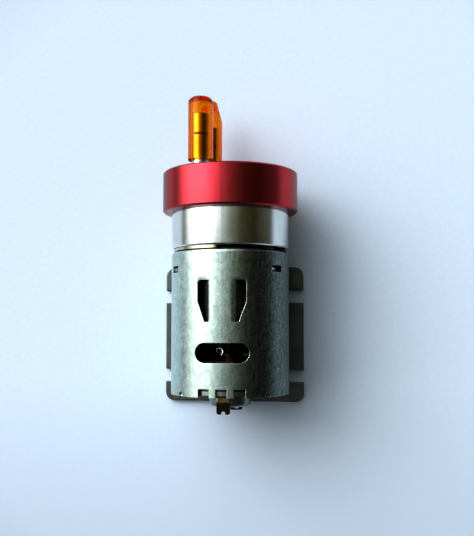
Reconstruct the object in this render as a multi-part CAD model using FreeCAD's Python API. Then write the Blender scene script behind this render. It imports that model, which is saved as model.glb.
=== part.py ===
import FreeCAD, Part
import math
import os

# Geared DC motor on a slotted base plate: a brushed can motor drives two planetary
# stages, which turn two parallel output shafts that stand out of the nose.
#
# Frame: +Y runs along the motor axis towards the output shafts, +Z is up, +X is to the
# right.  The origin is the centre of the base plate's underside.  Every function below
# draws its piece about the motor axis (z = 0 on the axis); save() lifts it by AXIS_HEIGHT.
# Angles are measured about the motor axis from +X towards +Z.

# ---- driving dimensions, millimetres -------------------------------------------------
AXIS_HEIGHT = 16.2

PLATE_WIDTH = 35.4
PLATE_X = -1.2
PLATE_LENGTH = 34.0
PLATE_THICKNESS = 1.5
PLATE_CORNER = 2.2
PLATE_EDGE_ROLL = 0.25
SLOT_WIDTH = 3.2
SLOT_END_REACH = 14.5
SLOT_PITCH_Y = 20.1
SLOT_CENTRE_Y = -0.5
SADDLE_HALF_WIDTH = 7.5
SADDLE_TOP_Z = -8.0
SADDLE_REAR_Y = -11.5
SADDLE_FRONT_Y = 15.0
RIVET_RADIUS = 1.0
RIVET_HEAD_RADIUS = 1.8
RIVET_TOP_Z = -13.6
RIVET_REACH_X = 5.6
RIVET_ROWS_Y = (-8.5, 11.0)

CAN_RADIUS = 13.85
CAN_WALL = 0.8
CAN_REAR_Y = -13.5
CAN_LENGTH = 32.8
CAN_SHOULDER = 0.7
CAN_BOSS_RADIUS = 5.0
CAN_BOSS_LENGTH = 1.5

EYE_FRONT_Y = 12.4
EYE_BEND_Y = 7.6
EYE_REAR_Y = 3.1
EYE_INNER_X = 2.1
EYE_OUTER_X = 5.45
EYE_REAR_X = 3.8
EYE_PANEL_TURN = 60.0
EYE_PANEL_BEND = 1.2
EYE_PANEL_STRAIGHT = 2.0
EYE_PANEL_LAP = 0.15
EYE_PANEL_FLATS = 5
EYE_PANEL_TRIM_FRONT = 0.6
EYE_PANEL_TRIM_REAR = 0.4
EYE_CORNER_X = 0.5
EYE_CORNER_Y = 0.6

SLOT_MOUTH_LENGTH = 12.1
SLOT_MOUTH_WIDTH = 4.4
SLOT_MOUTH_Y = -3.7
PUNCH_ANGLE = 58.0
PUNCH_WIDTH = 3.6
PUNCH_HEIGHT = 1.5
PUNCH_Y = 15.1
NOTCH_WIDTH = 2.5
NOTCH_DEPTH = 1.9
NOTCH_PITCH = 4.0
STAKE_ANGLE = 45.0
STAKE_RADIUS = 0.75
STAKE_INSET = 0.3

RUNNING_GAP = 0.03
FITTED_GAP = 0.02
END_GAP = 0.1
MOTOR_SHAFT_RADIUS = 1.15
BUSH_RADIUS = 3.0
BUSH_LENGTH = 3.0
ROTOR_RADIUS = 9.6
ROTOR_REAR_Y = 0.6
ROTOR_LENGTH = 13.0
ROTOR_POLES = 5
ROTOR_HUB = 3.2
ROTOR_ARM_WIDTH = 2.8
ROTOR_TIP_DEPTH = 1.3
ROTOR_SLOT_MOUTH = 2.2
ROTOR_END_FLOAT = 0.15
ROTOR_ARM_LAP = 0.4
COIL_OVERHANG = 2.1
COIL_NEAR_RADIUS = 4.0
COIL_GAP = 0.05
COMMUTATOR_RADIUS = 3.3
COMMUTATOR_FRONT_Y = -4.2
COMMUTATOR_LENGTH = 5.0
COMMUTATOR_WALL = 0.7
SEGMENT_GAP_ANGLE = 8.0
TANG_WIDTH = 1.2
TANG_REACH = 4.9
TANG_THICKNESS = 0.6
TANG_LAP = 0.3
SLEEVE_REAR_REACH = 0.3
SLEEVE_COLLAR_STEP = 0.3
SLEEVE_COLLAR_LENGTH = 1.0
INSULATOR_THICKNESS = 0.4
SPACER_RADIUS = 2.2
COIL_HALF_WIDTH_AT_HUB = 2.45
COIL_HALF_WIDTH_AT_RIM = 4.3
MAGNET_RADIUS = 12.95
MAGNET_THICKNESS = 2.7
MAGNET_HALF_ANGLE = 55.0
MAGNET_REAR_Y = -2.4
MAGNET_LENGTH = 19.0
MAGNET_SPRING_REAR_Y = 1.6
MAGNET_SPRING_LENGTH = 10.0
MAGNET_SPRING_THICKNESS = 0.6
MAGNET_SPRING_LEG = 2.2
MAGNET_SPRING_LEG_ANGLE = 4.0
MAGNET_SPRING_LAP = 0.3
MAGNET_SPRING_CLEAR_ANGLE = 1.0

END_PLATE_RADIUS = 12.95
END_PLATE_REAR_Y = -13.1
END_PLATE_THICKNESS = 1.0
BEARING_BOSS_RADIUS = 4.9
BEARING_BOSS_REAR_Y = -16.4
BOSS_WALL = 0.8
SHAFT_WINDOW_RADIUS = 1.6
COVER_HOLE_X = 8.6
COVER_HOLE_RADIUS = 1.5
HOLDER_FRONT_Y = -9.8
HOLDER_BORE = 5.2
HOLDER_CLEARANCE = 0.1
TERMINAL_Z = 10.4
TERMINAL_THICKNESS = 0.5
TERMINAL_ROOT_WIDTH = 2.5
TERMINAL_TAB_WIDTH = 3.0
TERMINAL_TAB_FRONT_Y = -14.5
TERMINAL_CORNER = 0.5
TERMINAL_ENTRY = 0.4
UPPER_TERMINAL_HOLE = 0.5
UPPER_TERMINAL_HOLE_INSET = 0.2
LOWER_TERMINAL_HOLE = 0.9
LOWER_TERMINAL_HOLE_INSET = 1.15
COLLAR_HALF_WIDTH = 2.05
COLLAR_HALF_HEIGHT = 0.85
COLLAR_REACH = 0.5
UPPER_TERMINAL_REAR_Y = -17.3
LOWER_TERMINAL_REAR_Y = -18.6
BRUSH_SIZE = 2.4
BRUSH_WRAP = 1.0
BRUSH_Y = (-8.2, -5.9)
ARM_THICKNESS = 0.3
ARM_ROOT_X = -8.0
ARM_TIP_X = 1.6
ARM_LEG_HALF_HEIGHT = 1.3
ARM_LEG_REAR_Y = -11.4

MODULE = 0.5
PRESSURE_ANGLE = math.radians(20.0)
ADDENDUM = 0.45
DEDENDUM = 0.625
FLANK_GAP = 0.04
SUN_TEETH = 12
PLANET_TEETH = 18
RING_TEETH = SUN_TEETH + 2 * PLANET_TEETH
PLANETS = 3
DRIVE_TEETH = 20
OUTPUT_TEETH = 16
OUTPUT_X = -6.0

GEARBOX_REAR_Y = 20.2
HOUSING_RADIUS = 13.86
HOUSING_CHAMFER = 0.3
HOUSING_FRONT_Y = 32.6
NOSE_RADIUS = 16.0
NOSE_REAR_Y = 28.85
NOSE_FRONT_Y = 38.3
NOSE_WALL = 2.0
NOSE_CHAMFER = 0.35
CHAMBER_RADIUS = 13.55
POST_PLACES = ((-11.0, 0.0), (8.5, 7.0), (8.5, -7.0))
POST_RADIUS = 2.0
OUTPUT_BUSH_RADIUS = 3.2
CENTRE_BUSH_RADIUS = 2.8
CENTRE_BUSH_LENGTH = 1.4
BUSH_FLANGE_RADIUS = 3.8
BUSH_FLANGE_THICKNESS = 0.5
OUTPUT_WASHER_THICKNESS = 0.25
MID_PLATE_THICKNESS = 0.8
MID_PLATE_BORE_GAP = 0.3
ADAPTER_RADIUS = 13.35
ADAPTER_LOBE_RADIUS = 11.6
ADAPTER_LOBE_START = 94.0
ADAPTER_LOBE_SPAN = 84.0
ADAPTER_SCREW_X = 8.0
ADAPTER_SCREW_TIP_Y = 17.4
ADAPTER_FRONT_Y = 21.2
ADAPTER_SEAM = 0.06
ADAPTER_SCREW_HOLE_LENGTH = 3.0
GASKET_RADIUS = 12.6
GASKET_THICKNESS = 0.22
SPIGOT_RADIUS = 12.75
THRUST_OUTER = 11.3
THRUST_INNER = 3.9
THRUST_THICKNESS = 0.3
RECESS_DEPTH = 0.7
M3_RADIUS = 1.5
M3_HEAD_RADIUS = 2.7
M2_5_RADIUS = 1.25
M2_5_HEAD_RADIUS = 2.3
RECESS_REACH = 0.62
RECESS_BLADE = 0.16

PLANET_PIN_RADIUS = 1.0
CARRIER_RADIUS = 11.1
CARRIER_THICKNESS = 1.4
STAGE_1_REAR_Y = 21.7
STAGE_1_WIDTH = 3.6
STAGE_2_REAR_Y = 27.3
STAGE_2_WIDTH = 3.3
STAGE_GAP = 0.3
CARRIER_BAY_RADIUS = 5.0
CARRIER_BAY_ORBIT = 13.1
SUN_STEM_RADIUS = 2.3
SUN_BORE = 0.6
DRIVE_SHAFT_ENTRY = 1.2
OUTPUT_GEAR_FLOAT = 0.35
OUTPUT_GEAR_WIDTH = 2.1

OUTPUT_SHAFT_RADIUS = 2.0
OUTPUT_SHAFT_CHAMFER = 0.2
TAIL_RADIUS = 1.2
OUTPUT_SHAFT_TIP_Y = 51.3
OUTPUT_GROOVE_Y = 46.4
OUTPUT_GROOVE_WIDTH = 0.5
OUTPUT_GROOVE_DEPTH = 0.25
CAP_RADIUS = 2.92
CAP_OPEN_Y = 40.4
UPPER_CAP_TIP_Y = 55.3
UPPER_CAP_ROUND = 1.3
LOWER_CAP_TAPER_Y = 53.0
LOWER_CAP_TIP_Y = 58.2
LOWER_CAP_TIP_RADIUS = 1.7
LOWER_CAP_ROUND = 0.8

# ---- sizes worked out from the driving dimensions --------------------------------------
CAN_FRONT_Y = CAN_REAR_Y + CAN_LENGTH
CAN_INNER = CAN_RADIUS - CAN_WALL
ROTOR_FRONT_Y = ROTOR_REAR_Y + ROTOR_LENGTH
PITCH_SUN = MODULE * SUN_TEETH / 2
PITCH_PLANET = MODULE * PLANET_TEETH / 2
PLANET_ORBIT = PITCH_SUN + PITCH_PLANET
OUTPUT_DISTANCE = MODULE * (DRIVE_TEETH + OUTPUT_TEETH) / 2
OUTPUT_Z = math.sqrt(OUTPUT_DISTANCE ** 2 - OUTPUT_X ** 2)
MID_PLATE_REAR_Y = HOUSING_FRONT_Y
MID_PLATE_FRONT_Y = MID_PLATE_REAR_Y + MID_PLATE_THICKNESS
NOSE_FLOOR_Y = NOSE_FRONT_Y - NOSE_WALL
OUTPUT_GEAR_REAR_Y = MID_PLATE_FRONT_Y + OUTPUT_GEAR_FLOAT
ARM_LEVEL = COMMUTATOR_RADIUS + RUNNING_GAP + BRUSH_SIZE + ARM_THICKNESS / 2
ADAPTER_REAR_Y = CAN_FRONT_Y + GASKET_THICKNESS
ADAPTER_FLANGE_FRONT_Y = GEARBOX_REAR_Y - ADAPTER_SEAM
CARRIER_1_REAR_Y = STAGE_1_REAR_Y + STAGE_1_WIDTH + STAGE_GAP
CARRIER_2_REAR_Y = STAGE_2_REAR_Y + STAGE_2_WIDTH + STAGE_GAP
PINION_FRONT_Y = STAGE_1_REAR_Y + STAGE_1_WIDTH + END_GAP
BOSS_FRONT_Y = CAN_FRONT_Y + CAN_BOSS_LENGTH

# DEEP is longer than any wall that a cutter has to go through, and PAST is how far a
# shorter cutter runs past the face it opens; cuts in one side of the can start CUT_FROM_Z
# off its axis, a pie slice is faceted every SECTOR_STEP degrees at most, and TOLERANCE
# picks edges by their place
DEEP = 40.0
PAST = 1.0
CUT_FROM_Z = 4.0
SECTOR_STEP = 30.0
TOLERANCE = 1e-4

UP = 90.0
DOWN = -90.0
Y_DIRECTION = FreeCAD.Vector(0, 1, 0)
AXIS_POINT = FreeCAD.Vector(0, 0, 0)


# ---- drawing helpers ---------------------------------------------------------------------
def polar(radius, angle):
    """x, z of a point at an angle in degrees about the motor axis."""
    return radius * math.cos(math.radians(angle)), radius * math.sin(math.radians(angle))


def rod(radius, rear, front, x=0.0, z=0.0):
    """Round bar parallel to the motor axis."""
    return Part.makeCylinder(radius, front - rear, FreeCAD.Vector(x, rear, z), Y_DIRECTION)


def tube(outer, inner, rear, front, x=0.0, z=0.0):
    return rod(outer, rear, front, x, z).cut(rod(inner, rear - PAST, front + PAST, x, z))


def cone(rear_radius, front_radius, rear, front, x=0.0, z=0.0):
    start = FreeCAD.Vector(x, rear, z)
    return Part.makeCone(rear_radius, front_radius, front - rear, start, Y_DIRECTION)


def block(x_span, y_span, z_span):
    """Box from three (low, high) pairs."""
    corner = FreeCAD.Vector(x_span[0], y_span[0], z_span[0])
    return Part.makeBox(x_span[1] - x_span[0], y_span[1] - y_span[0], z_span[1] - z_span[0], corner)


def extrude_cross_section(points, rear, front):
    """Solid from a closed outline of (x, z) points, drawn square to the motor axis."""
    corners = [FreeCAD.Vector(x, rear, z) for x, z in points]
    face = Part.Face(Part.makePolygon(corners + corners[:1]))
    return face.extrude(FreeCAD.Vector(0, front - rear, 0))


def extrude_plan(points, low, high):
    """Solid from a closed outline of (x, y) points, drawn as seen from above."""
    corners = [FreeCAD.Vector(x, y, low) for x, y in points]
    face = Part.Face(Part.makePolygon(corners + corners[:1]))
    return face.extrude(FreeCAD.Vector(0, 0, high - low))


def turned(shape, angle):
    """A copy carried about the motor axis, from +X towards +Z, by degrees."""
    copy = shape.copy()
    copy.rotate(AXIS_POINT, Y_DIRECTION, -angle)
    return copy


def sector(radius, start, span, rear, front):
    """Pie slice about the motor axis that is wider than any piece it cuts."""
    steps = max(2, int(span / SECTOR_STEP) + 1)
    reach = radius / math.cos(math.radians(span / steps / 2))
    rim = [polar(reach, start + span * step / steps) for step in range(steps + 1)]
    return extrude_cross_section([(0.0, 0.0)] + rim, rear, front)


def arc_band(outer, inner, start, span, rear, front):
    return tube(outer, inner, rear, front).common(sector(outer + PAST, start, span, rear, front))


def fuse_all(shapes):
    result = shapes[0]
    for shape in shapes[1:]:
        result = result.fuse(shape)
    return result


def group(shapes):
    """Separate solids that share one node."""
    return Part.makeCompound(shapes)


def rounded(shape, radius, keep):
    """Fillet the edges that keep() chooses."""
    return shape.makeFillet(radius, [edge for edge in shape.Edges if keep(edge)])


def is_vertical(edge):
    ends = [vertex.Point for vertex in edge.Vertexes]
    return len(ends) == 2 and math.hypot(ends[0].x - ends[1].x, ends[0].y - ends[1].y) < TOLERANCE


def is_ring_at(edge, y, radius):
    """Whether an edge is a circle of this radius, square to the motor axis, at y."""
    curve = edge.Curve
    if not isinstance(curve, Part.Circle):
        return False
    return abs(curve.Center.y - y) < TOLERANCE and abs(curve.Radius - radius) < TOLERANCE


# ---- involute gears ------------------------------------------------------------------------
def involute(angle):
    return math.tan(angle) - angle


def flank_angle(teeth, radius, gap):
    """Half the angle of a tooth at a radius, with gap taken off each flank."""
    pitch = MODULE * teeth / 2
    base = pitch * math.cos(PRESSURE_ANGLE)
    at_pitch = math.pi / (2 * teeth) - gap / pitch + involute(PRESSURE_ANGLE)
    return at_pitch - involute(math.acos(min(1.0, base / radius)))


def gear_outline(teeth, phase, inner_radius, outer_radius, gap):
    """Outline of a toothed wheel: one tooth is centred on the angle phase, in degrees.

    Each flank is three flats.  The hole of an internal gear has the outline of a wheel
    whose tips are the ring's roots.
    """
    base = MODULE * teeth / 2 * math.cos(PRESSURE_ANGLE)
    low = max(inner_radius, base)
    radii = [low + (outer_radius - low) * step / 3 for step in range(4)]
    if low > inner_radius:
        radii.insert(0, inner_radius)
    points = []
    for tooth in range(teeth):
        centre = math.radians(phase) + 2 * math.pi * tooth / teeth
        rising = [(radius, centre - flank_angle(teeth, radius, gap)) for radius in radii]
        falling = [(radius, centre + flank_angle(teeth, radius, gap)) for radius in reversed(radii)]
        for radius, angle in rising + falling:
            points.append((radius * math.cos(angle), radius * math.sin(angle)))
    return points


def external_gear(teeth, phase, bore, rear, front, x=0.0, z=0.0):
    pitch = MODULE * teeth / 2
    outline = gear_outline(teeth, phase, pitch - DEDENDUM, pitch + ADDENDUM, FLANK_GAP)
    wheel = extrude_cross_section(outline, rear, front)
    wheel.translate(FreeCAD.Vector(x, 0, z))
    return wheel.cut(rod(bore, rear - PAST, front + PAST, x, z))


def internal_gear_hole(teeth, phase, rear, front):
    pitch = MODULE * teeth / 2
    outline = gear_outline(teeth, phase, pitch - ADDENDUM, pitch + DEDENDUM, -FLANK_GAP)
    return extrude_cross_section(outline, rear, front)


def meshing_phase(driver_teeth, driver_phase, driven_teeth, direction):
    """Phase of a wheel that meshes with a driver; direction points from driver to wheel."""
    pitch = 360.0 / driver_teeth
    offset = (driver_phase - direction + pitch / 2) % pitch - pitch / 2
    return direction + 180.0 - offset * driver_teeth / driven_teeth + 180.0 / driven_teeth


# ---- base ----------------------------------------------------------------------------------
def base_plate():
    """Sheet-metal foot with a U-slot at each corner, open to the side."""
    half_width = PLATE_WIDTH / 2
    half_length = PLATE_LENGTH / 2
    bottom = -AXIS_HEIGHT
    top = bottom + PLATE_THICKNESS
    sides = (PLATE_X - half_width, PLATE_X + half_width)
    plate = block(sides, (-half_length, half_length), (bottom, top))
    plate = rounded(plate, PLATE_CORNER, is_vertical)
    for side in (-1, 1):
        end_x = PLATE_X + side * SLOT_END_REACH
        for row in (-0.5, 0.5):
            y = SLOT_CENTRE_Y + row * SLOT_PITCH_Y
            end = Part.makeCylinder(SLOT_WIDTH / 2, DEEP, FreeCAD.Vector(end_x, y, -DEEP))
            span = sorted((end_x, end_x + side * half_width))
            mouth = block(span, (y - SLOT_WIDTH / 2, y + SLOT_WIDTH / 2), (-DEEP, 0))
            plate = plate.cut(end).cut(mouth)
    top_edges = [edge for edge in plate.Edges if min(v.Z for v in edge.Vertexes) > top - TOLERANCE]
    plate = plate.makeFillet(PLATE_EDGE_ROLL, top_edges)
    for x, y in rivet_places():
        plate = plate.cut(rivet(x, y, FITTED_GAP))
    return plate


def rivet_places():
    return [(x, y) for x in (-RIVET_REACH_X, RIVET_REACH_X) for y in RIVET_ROWS_Y]


def rivet(x, y, gap):
    """Countersunk rivet, its head flush with the plate's underside."""
    bottom = -AXIS_HEIGHT
    upward = FreeCAD.Vector(0, 0, 1)
    head_height = RIVET_HEAD_RADIUS - RIVET_RADIUS
    at_bottom = FreeCAD.Vector(x, y, bottom)
    head = Part.makeCone(RIVET_HEAD_RADIUS + gap, RIVET_RADIUS + gap, head_height, at_bottom, upward)
    shank = Part.makeCylinder(RIVET_RADIUS + gap, RIVET_TOP_Z - bottom, at_bottom, upward)
    return head.fuse(shank)


def motor_saddle():
    """Cradle that carries the can: flat below, hollowed to the can's radius above."""
    plate_top = -AXIS_HEIGHT + PLATE_THICKNESS
    sides = (-SADDLE_HALF_WIDTH, SADDLE_HALF_WIDTH)
    cradle = block(sides, (SADDLE_REAR_Y, SADDLE_FRONT_Y), (plate_top, SADDLE_TOP_Z))
    cradle = cradle.cut(rod(CAN_RADIUS + FITTED_GAP, SADDLE_REAR_Y - PAST, SADDLE_FRONT_Y + PAST))
    for x, y in rivet_places():
        cradle = cradle.cut(rivet(x, y, FITTED_GAP))
    return cradle


def saddle_rivets():
    return group([rivet(x, y, 0.0) for x, y in rivet_places()])


# ---- motor ---------------------------------------------------------------------------------
def eye_outline(side, inner, outer, rear_outer):
    """Outline of one cooling louvre from above; the outer side slants in towards the rear."""
    points = [
        (inner, EYE_FRONT_Y),
        (outer - EYE_CORNER_X, EYE_FRONT_Y),
        (outer, EYE_FRONT_Y - EYE_CORNER_Y),
        (outer, EYE_BEND_Y),
        (rear_outer, EYE_REAR_Y),
        (inner, EYE_REAR_Y),
    ]
    return [(side * x, y) for x, y in points]


def eye_panel(side):
    """The strip beside a louvre's opening, bent inwards about its straight inner edge."""
    middle = CAN_RADIUS - CAN_WALL / 2
    half = CAN_WALL / 2
    start = EYE_INNER_X
    slope = math.degrees(math.asin(start / middle))
    origin_x = start - EYE_PANEL_LAP
    origin_z = math.sqrt(middle ** 2 - origin_x ** 2)
    path = [(origin_x, origin_z, slope)]
    x, z = origin_x, origin_z
    flat_turn = (EYE_PANEL_TURN - slope) / EYE_PANEL_FLATS
    flat_length = EYE_PANEL_BEND * math.radians(flat_turn)
    for flat in range(EYE_PANEL_FLATS):
        turn = math.radians(slope + flat_turn * (flat + 0.5))
        x += flat_length * math.cos(turn)
        z -= flat_length * math.sin(turn)
        path.append((x, z, slope + flat_turn * (flat + 1)))
    x += EYE_PANEL_STRAIGHT * math.cos(math.radians(EYE_PANEL_TURN))
    z -= EYE_PANEL_STRAIGHT * math.sin(math.radians(EYE_PANEL_TURN))
    path.append((x, z, EYE_PANEL_TURN))
    above = []
    below = []
    for x, z, turn in path:
        lean_x = half * math.sin(math.radians(turn))
        lean_z = half * math.cos(math.radians(turn))
        above.append((side * (x + lean_x), z + lean_z))
        below.append((side * (x - lean_x), z - lean_z))
    strip = extrude_cross_section(above + below[::-1], EYE_REAR_Y, EYE_FRONT_Y)
    front_x = EYE_OUTER_X - EYE_PANEL_TRIM_FRONT
    rear_x = EYE_REAR_X - EYE_PANEL_TRIM_REAR
    outline = eye_outline(side, 0.0, front_x, rear_x)
    return strip.common(extrude_plan(outline, 0, DEEP))


def racetrack_cutter(length, width, y):
    """Vertical cutter with round ends, long across the can, through the top wall only."""
    reach = length / 2 - width / 2
    half = width / 2
    middle = block((-reach, reach), (y - half, y + half), (CUT_FROM_Z, CUT_FROM_Z + DEEP))
    ends = []
    for x in (-reach, reach):
        ends.append(Part.makeCylinder(half, DEEP, FreeCAD.Vector(x, y, CUT_FROM_Z)))
    return fuse_all([middle] + ends)


def motor_can():
    body = rod(CAN_RADIUS, CAN_REAR_Y, CAN_FRONT_Y)
    body = rounded(body, CAN_SHOULDER, lambda edge: is_ring_at(edge, CAN_FRONT_Y, CAN_RADIUS))
    boss = rod(CAN_BOSS_RADIUS, CAN_FRONT_Y - CAN_WALL, BOSS_FRONT_Y)
    body = body.cut(rod(CAN_INNER, CAN_REAR_Y - PAST, CAN_FRONT_Y - CAN_WALL)).fuse(boss)
    body = body.cut(rod(BUSH_RADIUS, CAN_REAR_Y, BOSS_FRONT_Y + PAST))
    for side in (-1, 1):
        opening = eye_outline(side, EYE_INNER_X, EYE_OUTER_X, EYE_REAR_X)
        body = body.cut(extrude_plan(opening, CUT_FROM_Z, DEEP))
    body = body.fuse(fuse_all([eye_panel(-1), eye_panel(1)]))
    body = body.cut(racetrack_cutter(SLOT_MOUTH_LENGTH, SLOT_MOUTH_WIDTH, SLOT_MOUTH_Y))
    punch_y = (PUNCH_Y - PUNCH_HEIGHT / 2, PUNCH_Y + PUNCH_HEIGHT / 2)
    punch = block((-PUNCH_WIDTH / 2, PUNCH_WIDTH / 2), punch_y, (CUT_FROM_Z, DEEP))
    for side in (-1, 1):
        body = body.cut(turned(punch, side * PUNCH_ANGLE))
        body = body.cut(adapter_screw_hole(side))
    for place in (-1, 0, 1):
        x = place * NOTCH_PITCH
        span = (x - NOTCH_WIDTH / 2, x + NOTCH_WIDTH / 2)
        depth = (CAN_REAR_Y - PAST, CAN_REAR_Y + NOTCH_DEPTH)
        for z_span in ((CUT_FROM_Z, DEEP), (-DEEP, -CUT_FROM_Z)):
            body = body.cut(block(span, depth, z_span))
    for quarter in range(4):
        x, z = polar(CAN_RADIUS, STAKE_ANGLE + 90 * quarter)
        body = body.cut(Part.makeSphere(STAKE_RADIUS, FreeCAD.Vector(x, CAN_REAR_Y + STAKE_INSET, z)))
    return body.removeSplitter()


def front_bush():
    return tube(BUSH_RADIUS, MOTOR_SHAFT_RADIUS + RUNNING_GAP, BOSS_FRONT_Y - BUSH_LENGTH, BOSS_FRONT_Y)


def magnet(centre_angle):
    start = centre_angle - MAGNET_HALF_ANGLE
    span = 2 * MAGNET_HALF_ANGLE
    inner = MAGNET_RADIUS - MAGNET_THICKNESS
    return arc_band(MAGNET_RADIUS, inner, start, span, MAGNET_REAR_Y, MAGNET_REAR_Y + MAGNET_LENGTH)


def magnet_spring():
    """Spring clip under the rotor that pushes the two magnets apart."""
    reach = UP - MAGNET_HALF_ANGLE - MAGNET_SPRING_CLEAR_ANGLE
    span = (MAGNET_SPRING_REAR_Y, MAGNET_SPRING_REAR_Y + MAGNET_SPRING_LENGTH)
    inner = MAGNET_RADIUS - MAGNET_SPRING_THICKNESS
    band = arc_band(MAGNET_RADIUS, inner, DOWN - reach, 2 * reach, *span)
    legs = []
    leg_outer = MAGNET_RADIUS - MAGNET_SPRING_LAP
    leg_inner = MAGNET_RADIUS - MAGNET_SPRING_LEG
    half_leg = MAGNET_SPRING_LEG_ANGLE / 2
    for side in (-1, 1):
        start = DOWN + side * (reach - half_leg) - half_leg
        legs.append(arc_band(leg_outer, leg_inner, start, MAGNET_SPRING_LEG_ANGLE, *span))
    return fuse_all([band] + legs)


def end_plate():
    """Stamped rear cover with its drawn bearing boss."""
    front = END_PLATE_REAR_Y + END_PLATE_THICKNESS
    disc = rod(END_PLATE_RADIUS, END_PLATE_REAR_Y, front)
    boss = rod(BEARING_BOSS_RADIUS, BEARING_BOSS_REAR_Y, front)
    rear_rim = (BEARING_BOSS_REAR_Y, BEARING_BOSS_RADIUS)
    boss = rounded(boss, BOSS_WALL, lambda edge: is_ring_at(edge, *rear_rim))
    plate = disc.fuse(boss)
    plate = plate.cut(rod(BUSH_RADIUS, BEARING_BOSS_REAR_Y + BOSS_WALL, front + PAST))
    plate = plate.cut(rod(SHAFT_WINDOW_RADIUS, BEARING_BOSS_REAR_Y - PAST, front))
    for side in (-1, 1):
        plate = plate.cut(terminal_collar(side, END_PLATE_REAR_Y - PAST, front + PAST, FITTED_GAP))
        hole = rod(COVER_HOLE_RADIUS, END_PLATE_REAR_Y - PAST, front + PAST, side * COVER_HOLE_X)
        plate = plate.cut(hole)
    return plate.removeSplitter()


def rear_bush():
    rear = BEARING_BOSS_REAR_Y + BOSS_WALL
    return tube(BUSH_RADIUS, MOTOR_SHAFT_RADIUS + RUNNING_GAP, rear, rear + BUSH_LENGTH)


def terminal_collar(side, rear, front, gap):
    """Block of insulator round a terminal, and with a gap the window that it fills."""
    reach_x = COLLAR_HALF_WIDTH + gap
    reach_z = COLLAR_HALF_HEIGHT + gap
    z = side * TERMINAL_Z
    return block((-reach_x, reach_x), (rear, front), (z - reach_z, z + reach_z))


def brush_holder():
    """Moulded insulator behind the end plate; a collar reaches out round each terminal."""
    rear = END_PLATE_REAR_Y + END_PLATE_THICKNESS
    holder = tube(END_PLATE_RADIUS - HOLDER_CLEARANCE, HOLDER_BORE, rear, HOLDER_FRONT_Y)
    half_root = TERMINAL_ROOT_WIDTH / 2
    half_thickness = TERMINAL_THICKNESS / 2
    for side in (-1, 1):
        holder = holder.fuse(terminal_collar(side, END_PLATE_REAR_Y - COLLAR_REACH, rear, 0))
        z = side * TERMINAL_Z
        slit = block((-half_root, half_root), (-DEEP, 0), (z - half_thickness, z + half_thickness))
        holder = holder.cut(slit).cut(arm_leg(side, rear, FITTED_GAP))
    return holder.removeSplitter()


def arm_leg(side, rear, gap):
    """Foot of a brush arm, and with a gap the slit that it stands in."""
    half_x = ARM_THICKNESS / 2 + gap
    reach = ARM_LEG_HALF_HEIGHT + gap
    z = side * ARM_LEVEL
    x_span = (ARM_ROOT_X - half_x, ARM_ROOT_X + half_x)
    return block(x_span, (rear, BRUSH_Y[1]), (z - reach, z + reach))


def terminal(side, rear, hole_radius, hole_inset):
    """Flat solder terminal: a narrow root through the cover and a wider, pierced tab."""
    z = side * TERMINAL_Z
    z_span = (z - TERMINAL_THICKNESS / 2, z + TERMINAL_THICKNESS / 2)
    half_root = TERMINAL_ROOT_WIDTH / 2
    half_tab = TERMINAL_TAB_WIDTH / 2
    root_y = (TERMINAL_TAB_FRONT_Y, HOLDER_FRONT_Y + TERMINAL_ENTRY)
    root = block((-half_root, half_root), root_y, z_span)
    tab = block((-half_tab, half_tab), (rear, TERMINAL_TAB_FRONT_Y), z_span)
    at_end = rear + TOLERANCE
    tab = rounded(tab, TERMINAL_CORNER, lambda edge: is_vertical(edge) and edge.Vertexes[0].Y < at_end)
    hole_base = FreeCAD.Vector(0, rear + hole_inset, z - PAST)
    hole = Part.makeCylinder(hole_radius, 2 * PAST, hole_base)
    return root.fuse(tab).cut(hole).removeSplitter()


def upper_terminal():
    """The hole of the upper tab breaks out through its end as a shallow notch."""
    return terminal(1, UPPER_TERMINAL_REAR_Y, UPPER_TERMINAL_HOLE, UPPER_TERMINAL_HOLE_INSET)


def lower_terminal():
    """The lower tab keeps a whole hole close to its end."""
    return terminal(-1, LOWER_TERMINAL_REAR_Y, LOWER_TERMINAL_HOLE, LOWER_TERMINAL_HOLE_INSET)


def brush(side):
    """Carbon block, hollowed to the commutator."""
    low = COMMUTATOR_RADIUS - BRUSH_WRAP
    high = COMMUTATOR_RADIUS + RUNNING_GAP + BRUSH_SIZE
    z_span = sorted((side * low, side * high))
    carbon = block((-BRUSH_SIZE / 2, BRUSH_SIZE / 2), BRUSH_Y, z_span)
    return carbon.cut(rod(COMMUTATOR_RADIUS + RUNNING_GAP, -DEEP, 0))


def brush_arm(side):
    """Leaf spring from the holder, along the back of the brush."""
    z = side * ARM_LEVEL
    half = ARM_THICKNESS / 2
    leaf = block((ARM_ROOT_X - half, ARM_TIP_X), BRUSH_Y, (z - half, z + half))
    return leaf.fuse(arm_leg(side, ARM_LEG_REAR_Y, 0)).removeSplitter()


# ---- rotor ---------------------------------------------------------------------------------
def rotor_shaft():
    return rod(MOTOR_SHAFT_RADIUS, BEARING_BOSS_REAR_Y + BOSS_WALL + END_GAP, PINION_FRONT_Y - END_GAP)


def pole_angles():
    return [UP + 360.0 * pole / ROTOR_POLES for pole in range(ROTOR_POLES)]


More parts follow.
